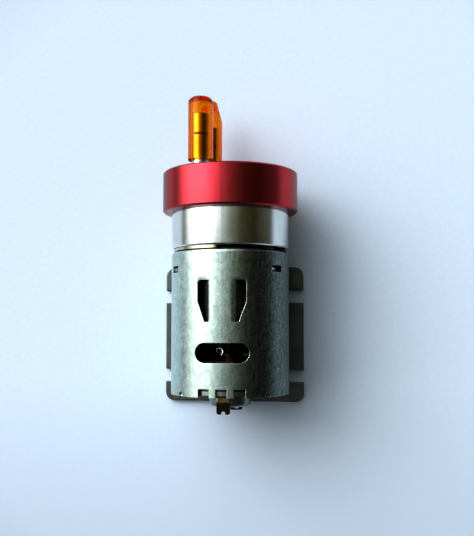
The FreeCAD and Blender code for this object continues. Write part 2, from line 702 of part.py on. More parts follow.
def rotor_core():
    """Lamination stack: a hub, arms and curved pole tips with open slots between them."""
    arm_end = ROTOR_RADIUS - ROTOR_ARM_LAP
    half = ROTOR_ARM_WIDTH / 2
    arm = block((MOTOR_SHAFT_RADIUS, arm_end), (ROTOR_REAR_Y, ROTOR_FRONT_Y), (-half, half))
    rim = tube(ROTOR_RADIUS, ROTOR_RADIUS - ROTOR_TIP_DEPTH, ROTOR_REAR_Y, ROTOR_FRONT_Y)
    half_mouth = ROTOR_SLOT_MOUTH / 2
    mouth = block((ROTOR_HUB + 2 * PAST, ROTOR_RADIUS + PAST), (-DEEP, DEEP), (-half_mouth, half_mouth))
    core = fuse_all([rod(ROTOR_HUB, ROTOR_REAR_Y, ROTOR_FRONT_Y), rim])
    for angle in pole_angles():
        core = core.fuse(turned(arm, angle))
        core = core.cut(turned(mouth, angle + 180.0 / ROTOR_POLES))
    core = core.cut(rod(MOTOR_SHAFT_RADIUS, -DEEP, DEEP))
    return core.removeSplitter()


def rotor_windings():
    """One coil round each pole, thicker towards the rim."""
    half = ROTOR_ARM_WIDTH / 2 + COIL_GAP
    near, far = COIL_NEAR_RADIUS, ROTOR_RADIUS
    hub_half, rim_half = COIL_HALF_WIDTH_AT_HUB, COIL_HALF_WIDTH_AT_RIM
    outline = [(near, -hub_half), (far, -rim_half), (far, rim_half), (near, hub_half)]
    clear = INSULATOR_THICKNESS + COIL_GAP
    rear = ROTOR_REAR_Y - COIL_OVERHANG
    front = ROTOR_FRONT_Y + COIL_OVERHANG
    coil = extrude_cross_section(outline, rear, front)
    window = block((0, DEEP), (ROTOR_REAR_Y - clear, ROTOR_FRONT_Y + clear), (-half, half))
    coil = coil.cut(window).common(rod(ROTOR_RADIUS - ROTOR_TIP_DEPTH - COIL_GAP, rear, front))
    return group([turned(coil, angle) for angle in pole_angles()])


def rotor_insulators():
    """Paper end plates that keep the wire off the laminations."""
    half = ROTOR_ARM_WIDTH / 2
    plates = []
    tip = ROTOR_RADIUS - ROTOR_TIP_DEPTH - COIL_GAP
    for rear in (ROTOR_REAR_Y - INSULATOR_THICKNESS, ROTOR_FRONT_Y):
        front = rear + INSULATOR_THICKNESS
        star = rod(ROTOR_HUB, rear, front)
        arm = block((MOTOR_SHAFT_RADIUS, tip), (rear, front), (-half, half))
        for angle in pole_angles():
            star = star.fuse(turned(arm, angle))
        plates.append(star.cut(rod(MOTOR_SHAFT_RADIUS, -DEEP, DEEP)).removeSplitter())
    return group(plates)


def commutator():
    """Copper segments with a wire tang at the front of each."""
    rear = COMMUTATOR_FRONT_Y - COMMUTATOR_LENGTH
    inner = COMMUTATOR_RADIUS - COMMUTATOR_WALL
    span = 360.0 / ROTOR_POLES - SEGMENT_GAP_ANGLE
    segment = arc_band(COMMUTATOR_RADIUS, inner, -span / 2, span, rear, COMMUTATOR_FRONT_Y)
    y_span = (COMMUTATOR_FRONT_Y - TANG_THICKNESS, COMMUTATOR_FRONT_Y)
    tang = block((inner + TANG_LAP, TANG_REACH), y_span, (-TANG_WIDTH / 2, TANG_WIDTH / 2))
    hooked = segment.fuse(tang).removeSplitter()
    return group([turned(hooked, angle) for angle in pole_angles()])


def commutator_sleeve():
    """Moulded core of the commutator, with a collar in front of the segments."""
    rear = COMMUTATOR_FRONT_Y - COMMUTATOR_LENGTH - SLEEVE_REAR_REACH
    inner = COMMUTATOR_RADIUS - COMMUTATOR_WALL
    front = ROTOR_REAR_Y - INSULATOR_THICKNESS - END_GAP
    sleeve = tube(inner, MOTOR_SHAFT_RADIUS, rear, front)
    collar_rear = COMMUTATOR_FRONT_Y + FITTED_GAP
    collar_radius = COMMUTATOR_RADIUS + SLEEVE_COLLAR_STEP
    collar_front = collar_rear + SLEEVE_COLLAR_LENGTH
    collar = tube(collar_radius, MOTOR_SHAFT_RADIUS, collar_rear, collar_front)
    return sleeve.fuse(collar).removeSplitter()


def rotor_spacers():
    """Thrust washers that set the rotor's end float."""
    front_start = ROTOR_FRONT_Y + INSULATOR_THICKNESS + END_GAP
    front_end = BOSS_FRONT_Y - BUSH_LENGTH - ROTOR_END_FLOAT
    front = tube(SPACER_RADIUS, MOTOR_SHAFT_RADIUS, front_start, front_end)
    rear_start = BEARING_BOSS_REAR_Y + BOSS_WALL + BUSH_LENGTH + ROTOR_END_FLOAT
    sleeve_rear = COMMUTATOR_FRONT_Y - COMMUTATOR_LENGTH - SLEEVE_REAR_REACH
    rear = tube(SPACER_RADIUS, MOTOR_SHAFT_RADIUS, rear_start, sleeve_rear - END_GAP)
    return group([front, rear])


def sun_pinion():
    return external_gear(SUN_TEETH, UP, MOTOR_SHAFT_RADIUS, STAGE_1_REAR_Y - END_GAP, PINION_FRONT_Y)


# ---- gearbox housing --------------------------------------------------------------------------
def adapter_screw_hole(side):
    rear = CAN_FRONT_Y - ADAPTER_SCREW_HOLE_LENGTH
    return rod(M3_RADIUS, rear, ADAPTER_FRONT_Y + PAST, side * ADAPTER_SCREW_X)


def adapter_gasket():
    """Thin dark spacer between the can and the adapter."""
    gasket = tube(GASKET_RADIUS, CAN_BOSS_RADIUS, CAN_FRONT_Y, ADAPTER_REAR_Y)
    for side in (-1, 1):
        gasket = gasket.cut(adapter_screw_hole(side))
    return gasket


def adapter_plate():
    """Rear wall of the gearbox: a two-lobed flange and a spigot that enters the housing."""
    flange = rod(ADAPTER_RADIUS, ADAPTER_REAR_Y, ADAPTER_FLANGE_FRONT_Y)
    for half_turn in (0.0, 180.0):
        start = ADAPTER_LOBE_START - ADAPTER_LOBE_SPAN + half_turn
        span = (ADAPTER_REAR_Y - PAST, ADAPTER_FRONT_Y)
        gap = arc_band(HOUSING_RADIUS, ADAPTER_LOBE_RADIUS, start, ADAPTER_LOBE_SPAN, *span)
        flange = flange.cut(gap)
    plate = flange.fuse(rod(SPIGOT_RADIUS, ADAPTER_FLANGE_FRONT_Y, ADAPTER_FRONT_Y))
    plate = plate.cut(rod(CAN_BOSS_RADIUS + FITTED_GAP, 0, DEEP))
    for side in (-1, 1):
        x = side * ADAPTER_SCREW_X
        seat = countersink(x, 0, ADAPTER_FRONT_Y, M3_RADIUS, M3_HEAD_RADIUS)
        plate = plate.cut(adapter_screw_hole(side)).cut(seat)
    return plate.removeSplitter()


def countersink(x, z, front, shank, head):
    """Seat of a countersunk head that is flush with a face at front."""
    depth = head - shank
    return cone(shank, head, front - depth, front, x, z).fuse(rod(head, front, front + PAST, x, z))


def countersunk_screw(x, z, tip, front, shank, head):
    """Countersunk screw with a cross recess, its head flush at front."""
    depth = head - shank
    core = shank - FITTED_GAP
    screw = rod(core, tip, front - depth / 2, x, z)
    top = front - FITTED_GAP
    screw = screw.fuse(cone(core, head - FITTED_GAP, top - depth, top, x, z))
    arm = RECESS_REACH * head
    blade = RECESS_BLADE * head
    y_span = (front - RECESS_DEPTH, front + PAST)
    for half_x, half_z in ((arm, blade), (blade, arm)):
        recess = block((x - half_x, x + half_x), y_span, (z - half_z, z + half_z))
        screw = screw.cut(recess)
    return screw.removeSplitter()


def adapter_screws():
    sizes = (ADAPTER_SCREW_TIP_Y, ADAPTER_FRONT_Y, M3_RADIUS, M3_HEAD_RADIUS)
    return group([countersunk_screw(x, 0, *sizes) for x in (-ADAPTER_SCREW_X, ADAPTER_SCREW_X)])


def rear_thrust_washer():
    front = ADAPTER_FRONT_Y + THRUST_THICKNESS
    return tube(THRUST_OUTER, THRUST_INNER, ADAPTER_FRONT_Y, front)


def ring_gear_housing():
    """Steel tube of the gearbox, with the internal teeth of both stages cut in its wall."""
    body = rod(HOUSING_RADIUS, GEARBOX_REAR_Y, HOUSING_FRONT_Y)
    edges = [edge for edge in body.Edges if is_ring_at(edge, GEARBOX_REAR_Y, HOUSING_RADIUS)]
    body = body.makeChamfer(HOUSING_CHAMFER, edges)
    space = UP + 180.0 / RING_TEETH
    body = body.cut(internal_gear_hole(RING_TEETH, space, GEARBOX_REAR_Y - PAST, HOUSING_FRONT_Y + PAST))
    return body.cut(rod(SPIGOT_RADIUS + FITTED_GAP, GEARBOX_REAR_Y - PAST, ADAPTER_FRONT_Y))


def output_places():
    return ((OUTPUT_X, OUTPUT_Z), (OUTPUT_X, -OUTPUT_Z))


def nose_housing():
    """Turned cup that sleeves over the gearbox tube and carries the output bushes."""
    body = rod(NOSE_RADIUS, NOSE_REAR_Y, NOSE_FRONT_Y)
    rims = [
        edge for edge in body.Edges
        if is_ring_at(edge, NOSE_REAR_Y, NOSE_RADIUS) or is_ring_at(edge, NOSE_FRONT_Y, NOSE_RADIUS)
    ]
    body = body.makeChamfer(NOSE_CHAMFER, rims)
    body = body.cut(rod(HOUSING_RADIUS + FITTED_GAP, NOSE_REAR_Y - PAST, MID_PLATE_FRONT_Y))
    body = body.cut(rod(CHAMBER_RADIUS, MID_PLATE_FRONT_Y - PAST, NOSE_FLOOR_Y))
    body = body.cut(rod(CENTRE_BUSH_RADIUS, NOSE_FLOOR_Y - PAST, NOSE_FLOOR_Y + CENTRE_BUSH_LENGTH))
    for x, z in output_places():
        body = body.cut(rod(OUTPUT_BUSH_RADIUS, NOSE_FLOOR_Y - PAST, NOSE_FRONT_Y + PAST, x, z))
    for x, z in POST_PLACES:
        body = body.cut(rod(M2_5_RADIUS, NOSE_FLOOR_Y - PAST, NOSE_FRONT_Y + PAST, x, z))
        body = body.cut(countersink(x, z, NOSE_FRONT_Y, M2_5_RADIUS, M2_5_HEAD_RADIUS))
    return body


def output_bushes():
    """Flanged bronze bushes of the two output shafts."""
    bushes = []
    for x, z in output_places():
        sleeve = rod(OUTPUT_BUSH_RADIUS, NOSE_FLOOR_Y, NOSE_FRONT_Y, x, z)
        flange = rod(BUSH_FLANGE_RADIUS, NOSE_FRONT_Y, NOSE_FRONT_Y + BUSH_FLANGE_THICKNESS, x, z)
        bore = rod(OUTPUT_SHAFT_RADIUS + RUNNING_GAP, NOSE_FLOOR_Y - PAST, NOSE_FRONT_Y + PAST, x, z)
        bushes.append(sleeve.fuse(flange).cut(bore))
    return group(bushes)


def centre_bush():
    bore = OUTPUT_SHAFT_RADIUS + RUNNING_GAP
    return tube(CENTRE_BUSH_RADIUS, bore, NOSE_FLOOR_Y, NOSE_FLOOR_Y + CENTRE_BUSH_LENGTH)


def output_washers():
    """Shims between each output gear and the nose."""
    rear = NOSE_FLOOR_Y - OUTPUT_WASHER_THICKNESS
    inner = OUTPUT_SHAFT_RADIUS + 2 * RUNNING_GAP
    washers = [tube(OUTPUT_BUSH_RADIUS, inner, rear, NOSE_FLOOR_Y, x, z) for x, z in output_places()]
    return group(washers)


def mid_plate():
    """Steel plate between the planetary stages and the output gears."""
    bore = OUTPUT_SHAFT_RADIUS + MID_PLATE_BORE_GAP
    plate = tube(HOUSING_RADIUS, bore, MID_PLATE_REAR_Y, MID_PLATE_FRONT_Y)
    for x, z in output_places():
        plate = plate.cut(rod(TAIL_RADIUS + RUNNING_GAP, 0, DEEP, x, z))
    for x, z in POST_PLACES:
        plate = plate.cut(rod(M2_5_RADIUS, 0, DEEP, x, z))
    return plate


def spacer_posts():
    """Sleeves that hold the mid plate off the nose's floor."""
    span = (MID_PLATE_FRONT_Y, NOSE_FLOOR_Y)
    return group([tube(POST_RADIUS, M2_5_RADIUS, *span, x, z) for x, z in POST_PLACES])


def nose_screws():
    tip = MID_PLATE_REAR_Y + END_GAP
    screws = []
    for x, z in POST_PLACES:
        screws.append(countersunk_screw(x, z, tip, NOSE_FRONT_Y, M2_5_RADIUS, M2_5_HEAD_RADIUS))
    return group(screws)


# ---- gear train --------------------------------------------------------------------------------
def planet_angles():
    return [UP + 360.0 * planet / PLANETS for planet in range(PLANETS)]


def planet_gear(angle, rear, width):
    """Planet on its pin, in mesh with a sun tooth and a ring tooth that share its angle."""
    x, z = polar(PLANET_ORBIT, angle)
    phase = angle + 180.0 / PLANET_TEETH
    bore = PLANET_PIN_RADIUS + RUNNING_GAP
    return external_gear(PLANET_TEETH, phase, bore, rear, rear + width, x, z)


def carrier(rear, hub_radius):
    """Disc with three lightening bays, drilled for the planet pins and the hub."""
    front = rear + CARRIER_THICKNESS
    disc = tube(CARRIER_RADIUS, hub_radius, rear, front)
    for angle in planet_angles():
        x, z = polar(PLANET_ORBIT, angle)
        disc = disc.cut(rod(PLANET_PIN_RADIUS, rear - PAST, front + PAST, x, z))
        x, z = polar(CARRIER_BAY_ORBIT, angle + 180.0 / PLANETS)
        disc = disc.cut(rod(CARRIER_BAY_RADIUS, rear - PAST, front + PAST, x, z))
    return disc


def planet_pins(stage_rear, carrier_rear):
    """Pins pressed into the carrier, reaching back through the planets."""
    pins = []
    for angle in planet_angles():
        x, z = polar(PLANET_ORBIT, angle)
        span = (stage_rear + END_GAP, carrier_rear + CARRIER_THICKNESS)
        pins.append(rod(PLANET_PIN_RADIUS, *span, x, z))
    return group(pins)


def second_sun():
    """Second-stage sun: its stem is pressed into the first carrier."""
    carrier_front = CARRIER_1_REAR_Y + CARRIER_THICKNESS
    front = CARRIER_2_REAR_Y - END_GAP
    teeth = external_gear(SUN_TEETH, UP, SUN_BORE, carrier_front, front)
    stem = tube(SUN_STEM_RADIUS, SUN_BORE, CARRIER_1_REAR_Y, carrier_front + END_GAP)
    return teeth.fuse(stem).removeSplitter()


def drive_shaft():
    """Short shaft pressed into the second carrier; its tip runs in the centre bush."""
    return rod(OUTPUT_SHAFT_RADIUS, CARRIER_2_REAR_Y, NOSE_FLOOR_Y + DRIVE_SHAFT_ENTRY)


def drive_gear():
    rear = OUTPUT_GEAR_REAR_Y - END_GAP
    front = OUTPUT_GEAR_REAR_Y + OUTPUT_GEAR_WIDTH + END_GAP
    return external_gear(DRIVE_TEETH, 0.0, OUTPUT_SHAFT_RADIUS, rear, front)


def output_gear(place):
    x, z = place
    direction = math.degrees(math.atan2(z, x))
    phase = meshing_phase(DRIVE_TEETH, 0.0, OUTPUT_TEETH, direction)
    front = OUTPUT_GEAR_REAR_Y + OUTPUT_GEAR_WIDTH
    return external_gear(OUTPUT_TEETH, phase, OUTPUT_SHAFT_RADIUS, OUTPUT_GEAR_REAR_Y, front, x, z)


def output_shaft(place):
    """Stepped shaft with a clip groove near its tip."""
    x, z = place
    shoulder = MID_PLATE_FRONT_Y + END_GAP
    tail = rod(TAIL_RADIUS, MID_PLATE_REAR_Y + END_GAP, shoulder + END_GAP, x, z)
    body = rod(OUTPUT_SHAFT_RADIUS, shoulder, OUTPUT_SHAFT_TIP_Y, x, z)
    tip = [edge for edge in body.Edges if is_ring_at(edge, OUTPUT_SHAFT_TIP_Y, OUTPUT_SHAFT_RADIUS)]
    body = body.makeChamfer(OUTPUT_SHAFT_CHAMFER, tip)
    low = OUTPUT_GROOVE_Y - OUTPUT_GROOVE_WIDTH / 2
    floor = OUTPUT_SHAFT_RADIUS - OUTPUT_GROOVE_DEPTH
    groove = tube(OUTPUT_SHAFT_RADIUS + PAST, floor, low, low + OUTPUT_GROOVE_WIDTH, x, z)
    return body.fuse(tail).cut(groove)


def bored_cap(sleeve, x, z):
    """Opens a sleeve down to the tip of the shaft that it covers."""
    return sleeve.cut(rod(OUTPUT_SHAFT_RADIUS, CAP_OPEN_Y - PAST, OUTPUT_SHAFT_TIP_Y, x, z))


def upper_cap(place):
    """Soft translucent sleeve with a closed, rounded end."""
    x, z = place
    sleeve = rod(CAP_RADIUS, CAP_OPEN_Y, UPPER_CAP_TIP_Y, x, z)
    sleeve = rounded(sleeve, UPPER_CAP_ROUND, lambda edge: is_ring_at(edge, UPPER_CAP_TIP_Y, CAP_RADIUS))
    return bored_cap(sleeve, x, z)


def lower_cap(place):
    """Longer sleeve whose closed end draws in to a blunt cone."""
    x, z = place
    crown = cone(CAP_RADIUS, LOWER_CAP_TIP_RADIUS, LOWER_CAP_TAPER_Y, LOWER_CAP_TIP_Y, x, z)
    tip = [edge for edge in crown.Edges if is_ring_at(edge, LOWER_CAP_TIP_Y, LOWER_CAP_TIP_RADIUS)]
    crown = crown.makeFillet(LOWER_CAP_ROUND, tip)
    sleeve = rod(CAP_RADIUS, CAP_OPEN_Y, LOWER_CAP_TAPER_Y, x, z)
    return bored_cap(sleeve.fuse(crown), x, z)


# ---- write one file per node -----------------------------------------------------------------
def save(name, shape):
    lifted = shape.copy()
    lifted.translate(FreeCAD.Vector(0, 0, AXIS_HEIGHT))
    lifted.exportStep("parts/" + name + ".step")


def main():
    os.makedirs("parts", exist_ok=True)
    upper, lower = output_places()
    nodes = {
        "base_plate": base_plate(),
        "motor_saddle": motor_saddle(),
        "saddle_rivets": saddle_rivets(),
        "motor_can": motor_can(),
        "front_bush": front_bush(),
        "magnet_right": magnet(0.0),
        "magnet_left": magnet(180.0),
        "magnet_spring": magnet_spring(),
        "end_plate": end_plate(),
        "rear_bush": rear_bush(),
        "brush_holder": brush_holder(),
        "terminal_upper": upper_terminal(),
        "terminal_lower": lower_terminal(),
        "brush_upper": brush(1),
        "brush_lower": brush(-1),
        "brush_arm_upper": brush_arm(1),
        "brush_arm_lower": brush_arm(-1),
        "rotor_shaft": rotor_shaft(),
        "rotor_core": rotor_core(),
        "rotor_windings": rotor_windings(),
        "rotor_insulators": rotor_insulators(),
        "commutator": commutator(),
        "commutator_sleeve": commutator_sleeve(),
        "rotor_spacers": rotor_spacers(),
        "sun_pinion": sun_pinion(),
        "adapter_gasket": adapter_gasket(),
        "adapter_plate": adapter_plate(),
        "adapter_screws": adapter_screws(),
        "rear_thrust_washer": rear_thrust_washer(),
        "ring_gear_housing": ring_gear_housing(),
        "nose_housing": nose_housing(),
        "mid_plate": mid_plate(),
        "spacer_posts": spacer_posts(),
        "nose_screws": nose_screws(),
        "output_bushes": output_bushes(),
        "centre_bush": centre_bush(),
        "output_washers": output_washers(),
        "carrier_1": carrier(CARRIER_1_REAR_Y, SUN_STEM_RADIUS),
        "planet_pins_1": planet_pins(STAGE_1_REAR_Y, CARRIER_1_REAR_Y),
        "second_sun": second_sun(),
        "carrier_2": carrier(CARRIER_2_REAR_Y, OUTPUT_SHAFT_RADIUS),
        "planet_pins_2": planet_pins(STAGE_2_REAR_Y, CARRIER_2_REAR_Y),
        "drive_shaft": drive_shaft(),
        "drive_gear": drive_gear(),
        "output_gear_upper": output_gear(upper),
        "output_gear_lower": output_gear(lower),
        "output_shaft_upper": output_shaft(upper),
        "output_shaft_lower": output_shaft(lower),
        "end_cap_upper": upper_cap(upper),
        "end_cap_lower": lower_cap(lower),
    }
    for number, angle in enumerate(planet_angles(), start=1):
        nodes["planet_1_" + str(number)] = planet_gear(angle, STAGE_1_REAR_Y, STAGE_1_WIDTH)
        nodes["planet_2_" + str(number)] = planet_gear(angle, STAGE_2_REAR_Y, STAGE_2_WIDTH)
    for name, shape in nodes.items():
        save(name, shape)


main()
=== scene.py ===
import math

import bmesh
import bpy
from mathutils import Matrix, Vector


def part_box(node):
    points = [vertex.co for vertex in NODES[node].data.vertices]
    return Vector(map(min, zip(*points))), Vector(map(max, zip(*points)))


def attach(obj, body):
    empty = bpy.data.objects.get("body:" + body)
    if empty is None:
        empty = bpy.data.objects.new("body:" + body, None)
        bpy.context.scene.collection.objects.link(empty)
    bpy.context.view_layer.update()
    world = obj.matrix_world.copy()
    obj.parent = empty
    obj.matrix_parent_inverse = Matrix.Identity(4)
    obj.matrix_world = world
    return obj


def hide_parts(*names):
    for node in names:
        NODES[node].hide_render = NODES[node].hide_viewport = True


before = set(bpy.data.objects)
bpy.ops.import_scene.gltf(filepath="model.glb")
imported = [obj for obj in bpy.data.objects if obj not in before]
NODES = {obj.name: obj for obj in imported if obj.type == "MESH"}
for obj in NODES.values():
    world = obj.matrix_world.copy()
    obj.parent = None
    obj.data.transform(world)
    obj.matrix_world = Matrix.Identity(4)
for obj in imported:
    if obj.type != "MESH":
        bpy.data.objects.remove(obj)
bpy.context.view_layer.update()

# Looks for the geared DC motor. Everything is in metres, in the frame of the CAD model:
# +Y runs along the motor towards its output shafts, +Z is up, the foot rests on z = 0.

MM = 0.001
PER_MM = 1.0 / MM


def middle(name):
    """Centre of a CAD node's box."""
    low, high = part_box(name)
    return (low + high) / 2


AXIS = (0.0, 0.0, middle("rotor_shaft").z)
BEVEL_SAMPLES = 4


# ---- node helpers --------------------------------------------------------------------
class Graph:
    """Short calls that add nodes to a tree and hand back their outputs."""

    def __init__(self, tree):
        self.tree = tree
        tree.nodes.clear()

    def add(self, kind):
        return self.tree.nodes.new(kind)

    def plug(self, value, socket):
        """Links an output to a socket, or sets the socket to a constant."""
        if isinstance(value, bpy.types.NodeSocket):
            self.tree.links.new(value, socket)
        else:
            socket.default_value = value

    def feed(self, node, **values):
        """Fills a node's inputs; an underscore in a name stands for a space."""
        for name, value in values.items():
            self.plug(value, node.inputs[name.replace("_", " ")])

    def math(self, operation, first, second=0.0, clamp=False):
        node = self.add("ShaderNodeMath")
        node.operation = operation
        node.use_clamp = clamp
        self.plug(first, node.inputs[0])
        self.plug(second, node.inputs[1])
        return node.outputs["Value"]

    def share(self, value, start, span):
        """0 at start, 1 at start + span, held outside them."""
        return self.math("DIVIDE", self.math("SUBTRACT", value, start), span, clamp=True)

    def near(self, value, centre, reach):
        """1 where value is within reach of centre."""
        off = self.math("ABSOLUTE", self.math("SUBTRACT", value, centre))
        return self.math("LESS_THAN", off, reach)

    def vector(self, operation, first, second, output="Vector"):
        node = self.add("ShaderNodeVectorMath")
        node.operation = operation
        self.plug(first, node.inputs[0])
        self.plug(second, node.inputs[1])
        return node.outputs[output]

    def split(self, vector):
        """The X, Y and Z of a vector."""
        node = self.add("ShaderNodeSeparateXYZ")
        self.feed(node, Vector=vector)
        return [node.outputs[axis] for axis in "XYZ"]

    def scaled(self, vector, scale):
        """A vector with X, Y and Z scaled differently."""
        node = self.add("ShaderNodeMapping")
        self.feed(node, Vector=vector, Scale=scale)
        return node.outputs["Vector"]

    def ramp(self, factor, *stops):
        """Colour ramp; each stop is (position, colour) or (position, value)."""
        node = self.add("ShaderNodeValToRGB")
        self.feed(node, Fac=factor)
        elements = node.color_ramp.elements
        while len(elements) < len(stops):
            elements.new(0.5)
        for element, (position, tone) in zip(elements, stops):
            element.position = position
            colour = tone if isinstance(tone, tuple) else (tone, tone, tone)
            element.color = (*colour, 1.0)
        return node.outputs["Color"]

    def mix(self, factor, first, second, blend="MIX"):
        node = self.add("ShaderNodeMix")
        node.data_type = "RGBA"
        node.blend_type = blend
        for name, value in (("Factor", factor), ("A", first), ("B", second)):
            socket = [item for item in node.inputs if item.name == name and item.enabled][0]
            self.plug((*value, 1.0) if isinstance(value, tuple) else value, socket)
        return [item for item in node.outputs if item.enabled][0]


class Look(Graph):
    """A material with one Principled shader, drawn in the object's own coordinates."""

    def __init__(self, name):
        self.material = bpy.data.materials.new(name)
        self.material.use_nodes = True
        super().__init__(self.material.node_tree)
        self.output = self.add("ShaderNodeOutputMaterial")
        self.shader = self.add("ShaderNodeBsdfPrincipled")
        self.feed(self.output, Surface=self.shader.outputs["BSDF"])
        self.place = self.add("ShaderNodeTexCoord").outputs["Object"]

    def set(self, **values):
        """Sets the shader's own sockets."""
        self.feed(self.shader, **values)

    def stretched(self, scale):
        """Object coordinates scaled differently along X, Y and Z."""
        return self.scaled(self.place, scale)

    def round_axis(self, centre, around):
        """Coordinates wrapped round an axis parallel to Y: angle, then distance and radius in mm."""
        across, length, height = self.split(self.vector("SUBTRACT", self.place, centre))
        angle = self.math("ARCTAN2", across, height)
        squares = [self.math("POWER", side, 2.0) for side in (across, height)]
        radius = self.math("SQRT", self.math("ADD", *squares))
        join = self.add("ShaderNodeCombineXYZ")
        self.feed(
            join,
            X=self.math("MULTIPLY", angle, around),
            Y=self.math("MULTIPLY", length, PER_MM),
            Z=self.math("MULTIPLY", radius, PER_MM),
        )
        return join.outputs["Vector"]

    def facing_axis(self, centre):
        """1 on faces that look towards an axis parallel to Y, such as the inside of a tube."""
        outward = self.vector("MULTIPLY", self.vector("SUBTRACT", self.place, centre), (1.0, 0.0, 1.0))
        normal = self.add("ShaderNodeNewGeometry").outputs["True Normal"]
        return self.math("LESS_THAN", self.vector("DOT_PRODUCT", outward, normal, "Value"), INWARD)

    def noise(self, vector, scale, detail=3.0, roughness=0.55, distortion=0.0):
        node = self.add("ShaderNodeTexNoise")
        self.feed(node, Vector=vector, Scale=scale, Detail=detail)
        self.feed(node, Roughness=roughness, Distortion=distortion)
        return node.outputs["Fac"]

    def cells(self, scale):
        """Node with each cell's random Color and the Distance to its centre."""
        node = self.add("ShaderNodeTexVoronoi")
        self.feed(node, Vector=self.place, Scale=scale)
        return node

    def bump(self, height, distance, strength=1.0, normal=None):
        node = self.add("ShaderNodeBump")
        self.feed(node, Height=height, Distance=distance, Strength=strength)
        if normal is not None:
            self.feed(node, Normal=normal)
        return node.outputs["Normal"]

    def edges(self, radius):
        """(softened normal, mask that is 1 along sharp edges)."""
        bevel = self.add("ShaderNodeBevel")
        bevel.samples = BEVEL_SAMPLES
        self.feed(bevel, Radius=radius)
        surface = self.add("ShaderNodeNewGeometry")
        agreement = self.vector("DOT_PRODUCT", bevel.outputs["Normal"], surface.outputs["Normal"], "Value")
        turned = self.math("SUBTRACT", 1.0, agreement, clamp=True)
        return bevel.outputs["Normal"], self.ramp(turned, (0.02, 0.0), (0.22, 1.0))


# ---- materials -------------------------------------------------------------------------
# Scales are per metre, or per millimetre on coordinates wrapped round an axis; reliefs are in
# metres. A face looks inwards where the product of its place and its normal is below INWARD.
INWARD = -0.002
METAL_SPREAD = 0.08
METAL_RELIEF = 4e-6


def metal(name, dark, light, roughness, edge=None):
    """Bare or plated metal: blotchy tone, grain in the roughness, fine relief, and brighter edges that are
    partly worn metal and partly painted highlight.
    """
    look = Look(name)
    blotch = look.noise(look.place, 220.0, 4.0, 0.6)
    speck = look.noise(look.place, 1400.0, 3.0, 0.6)
    cloud = look.noise(look.place, 520.0, 5.0)
    dark_marks = tuple(0.72 * tone for tone in dark)
    colour = look.ramp(blotch, (0.3, dark), (0.7, light))
    colour = look.mix(look.ramp(speck, (0.42, 0.35), (0.62, 0.0)), colour, dark_marks)
    normal = None
    if edge:
        normal, mask = look.edges(edge)
        # Paler edges: partly worn metal, partly a painted highlight.
        wear_and_highlight = tuple(min(1.0, 1.25 * tone + 0.04) for tone in light)
        colour = look.mix(mask, colour, wear_and_highlight)
    look.set(
        Base_Color=colour,
        Metallic=1.0,
        Roughness=look.ramp(cloud, (0.3, roughness - METAL_SPREAD), (0.72, roughness + METAL_SPREAD)),
        Normal=look.bump(speck, METAL_RELIEF, 1.0, normal),
    )
    return look.material


def plastic(name, dark, light, roughness, relief=6e-6):
    """Moulded or pressed insulator: faint blotches and a matt grain."""
    look = Look(name)
    blotch = look.noise(look.place, 180.0, 4.0)
    grain = look.noise(look.place, 900.0, 4.0, 0.6)
    look.set(
        Base_Color=look.ramp(blotch, (0.3, dark), (0.72, light)),
        Roughness=look.ramp(grain, (0.3, roughness - 0.08), (0.75, roughness + 0.1)),
        Normal=look.bump(grain, relief),
    )
    return look.material


# Painted shade makes the can's right side darker than its left, setting in 2.5 mm right of the axis and
# full 5.5 mm further on.
# Its louvres bend in along a hinge beside the middle, and dip at the brow, their front end.
CAN_RADIUS = 13.85 * MM
RIGHT_SHADE_FROM = 2.5 * MM
RIGHT_SHADE_SPAN = 5.5 * MM
HINGE_X = 2.1 * MM
HINGE_Y = 7.75 * MM
HINGE_HALF_WIDTH = 0.85 * MM
HINGE_HALF_LENGTH = 5.4 * MM
HINGE_RADIUS = 0.7 * MM
BROW_X = 3.7 * MM
BROW_Y = 12.6 * MM
BROW_HALF_WIDTH = 1.9 * MM
BROW_REACH = 1.2 * MM
BROW_RADIUS = 1.5 * MM
RIM_RADIUS = 0.22 * MM
COVER_TONE = 0.45


def louvre_softness(look):
    """Bevel radius: small in general, large along the louvres' hinges and brows."""
    across, along = look.split(look.place)[:2]
    across = look.math("ABSOLUTE", across)
    on_hinge = look.math(
        "MULTIPLY",
        look.near(across, HINGE_X, HINGE_HALF_WIDTH),
        look.near(along, HINGE_Y, HINGE_HALF_LENGTH),
    )
    on_brow = look.math(
        "MULTIPLY",
        look.near(across, BROW_X, BROW_HALF_WIDTH),
        look.near(along, BROW_Y, BROW_REACH),
    )
    hinge = look.math("MULTIPLY", on_hinge, HINGE_RADIUS)
    brow = look.math("MULTIPLY", on_brow, BROW_RADIUS)
    return look.math("ADD", RIM_RADIUS, look.math("MAXIMUM", hinge, brow))


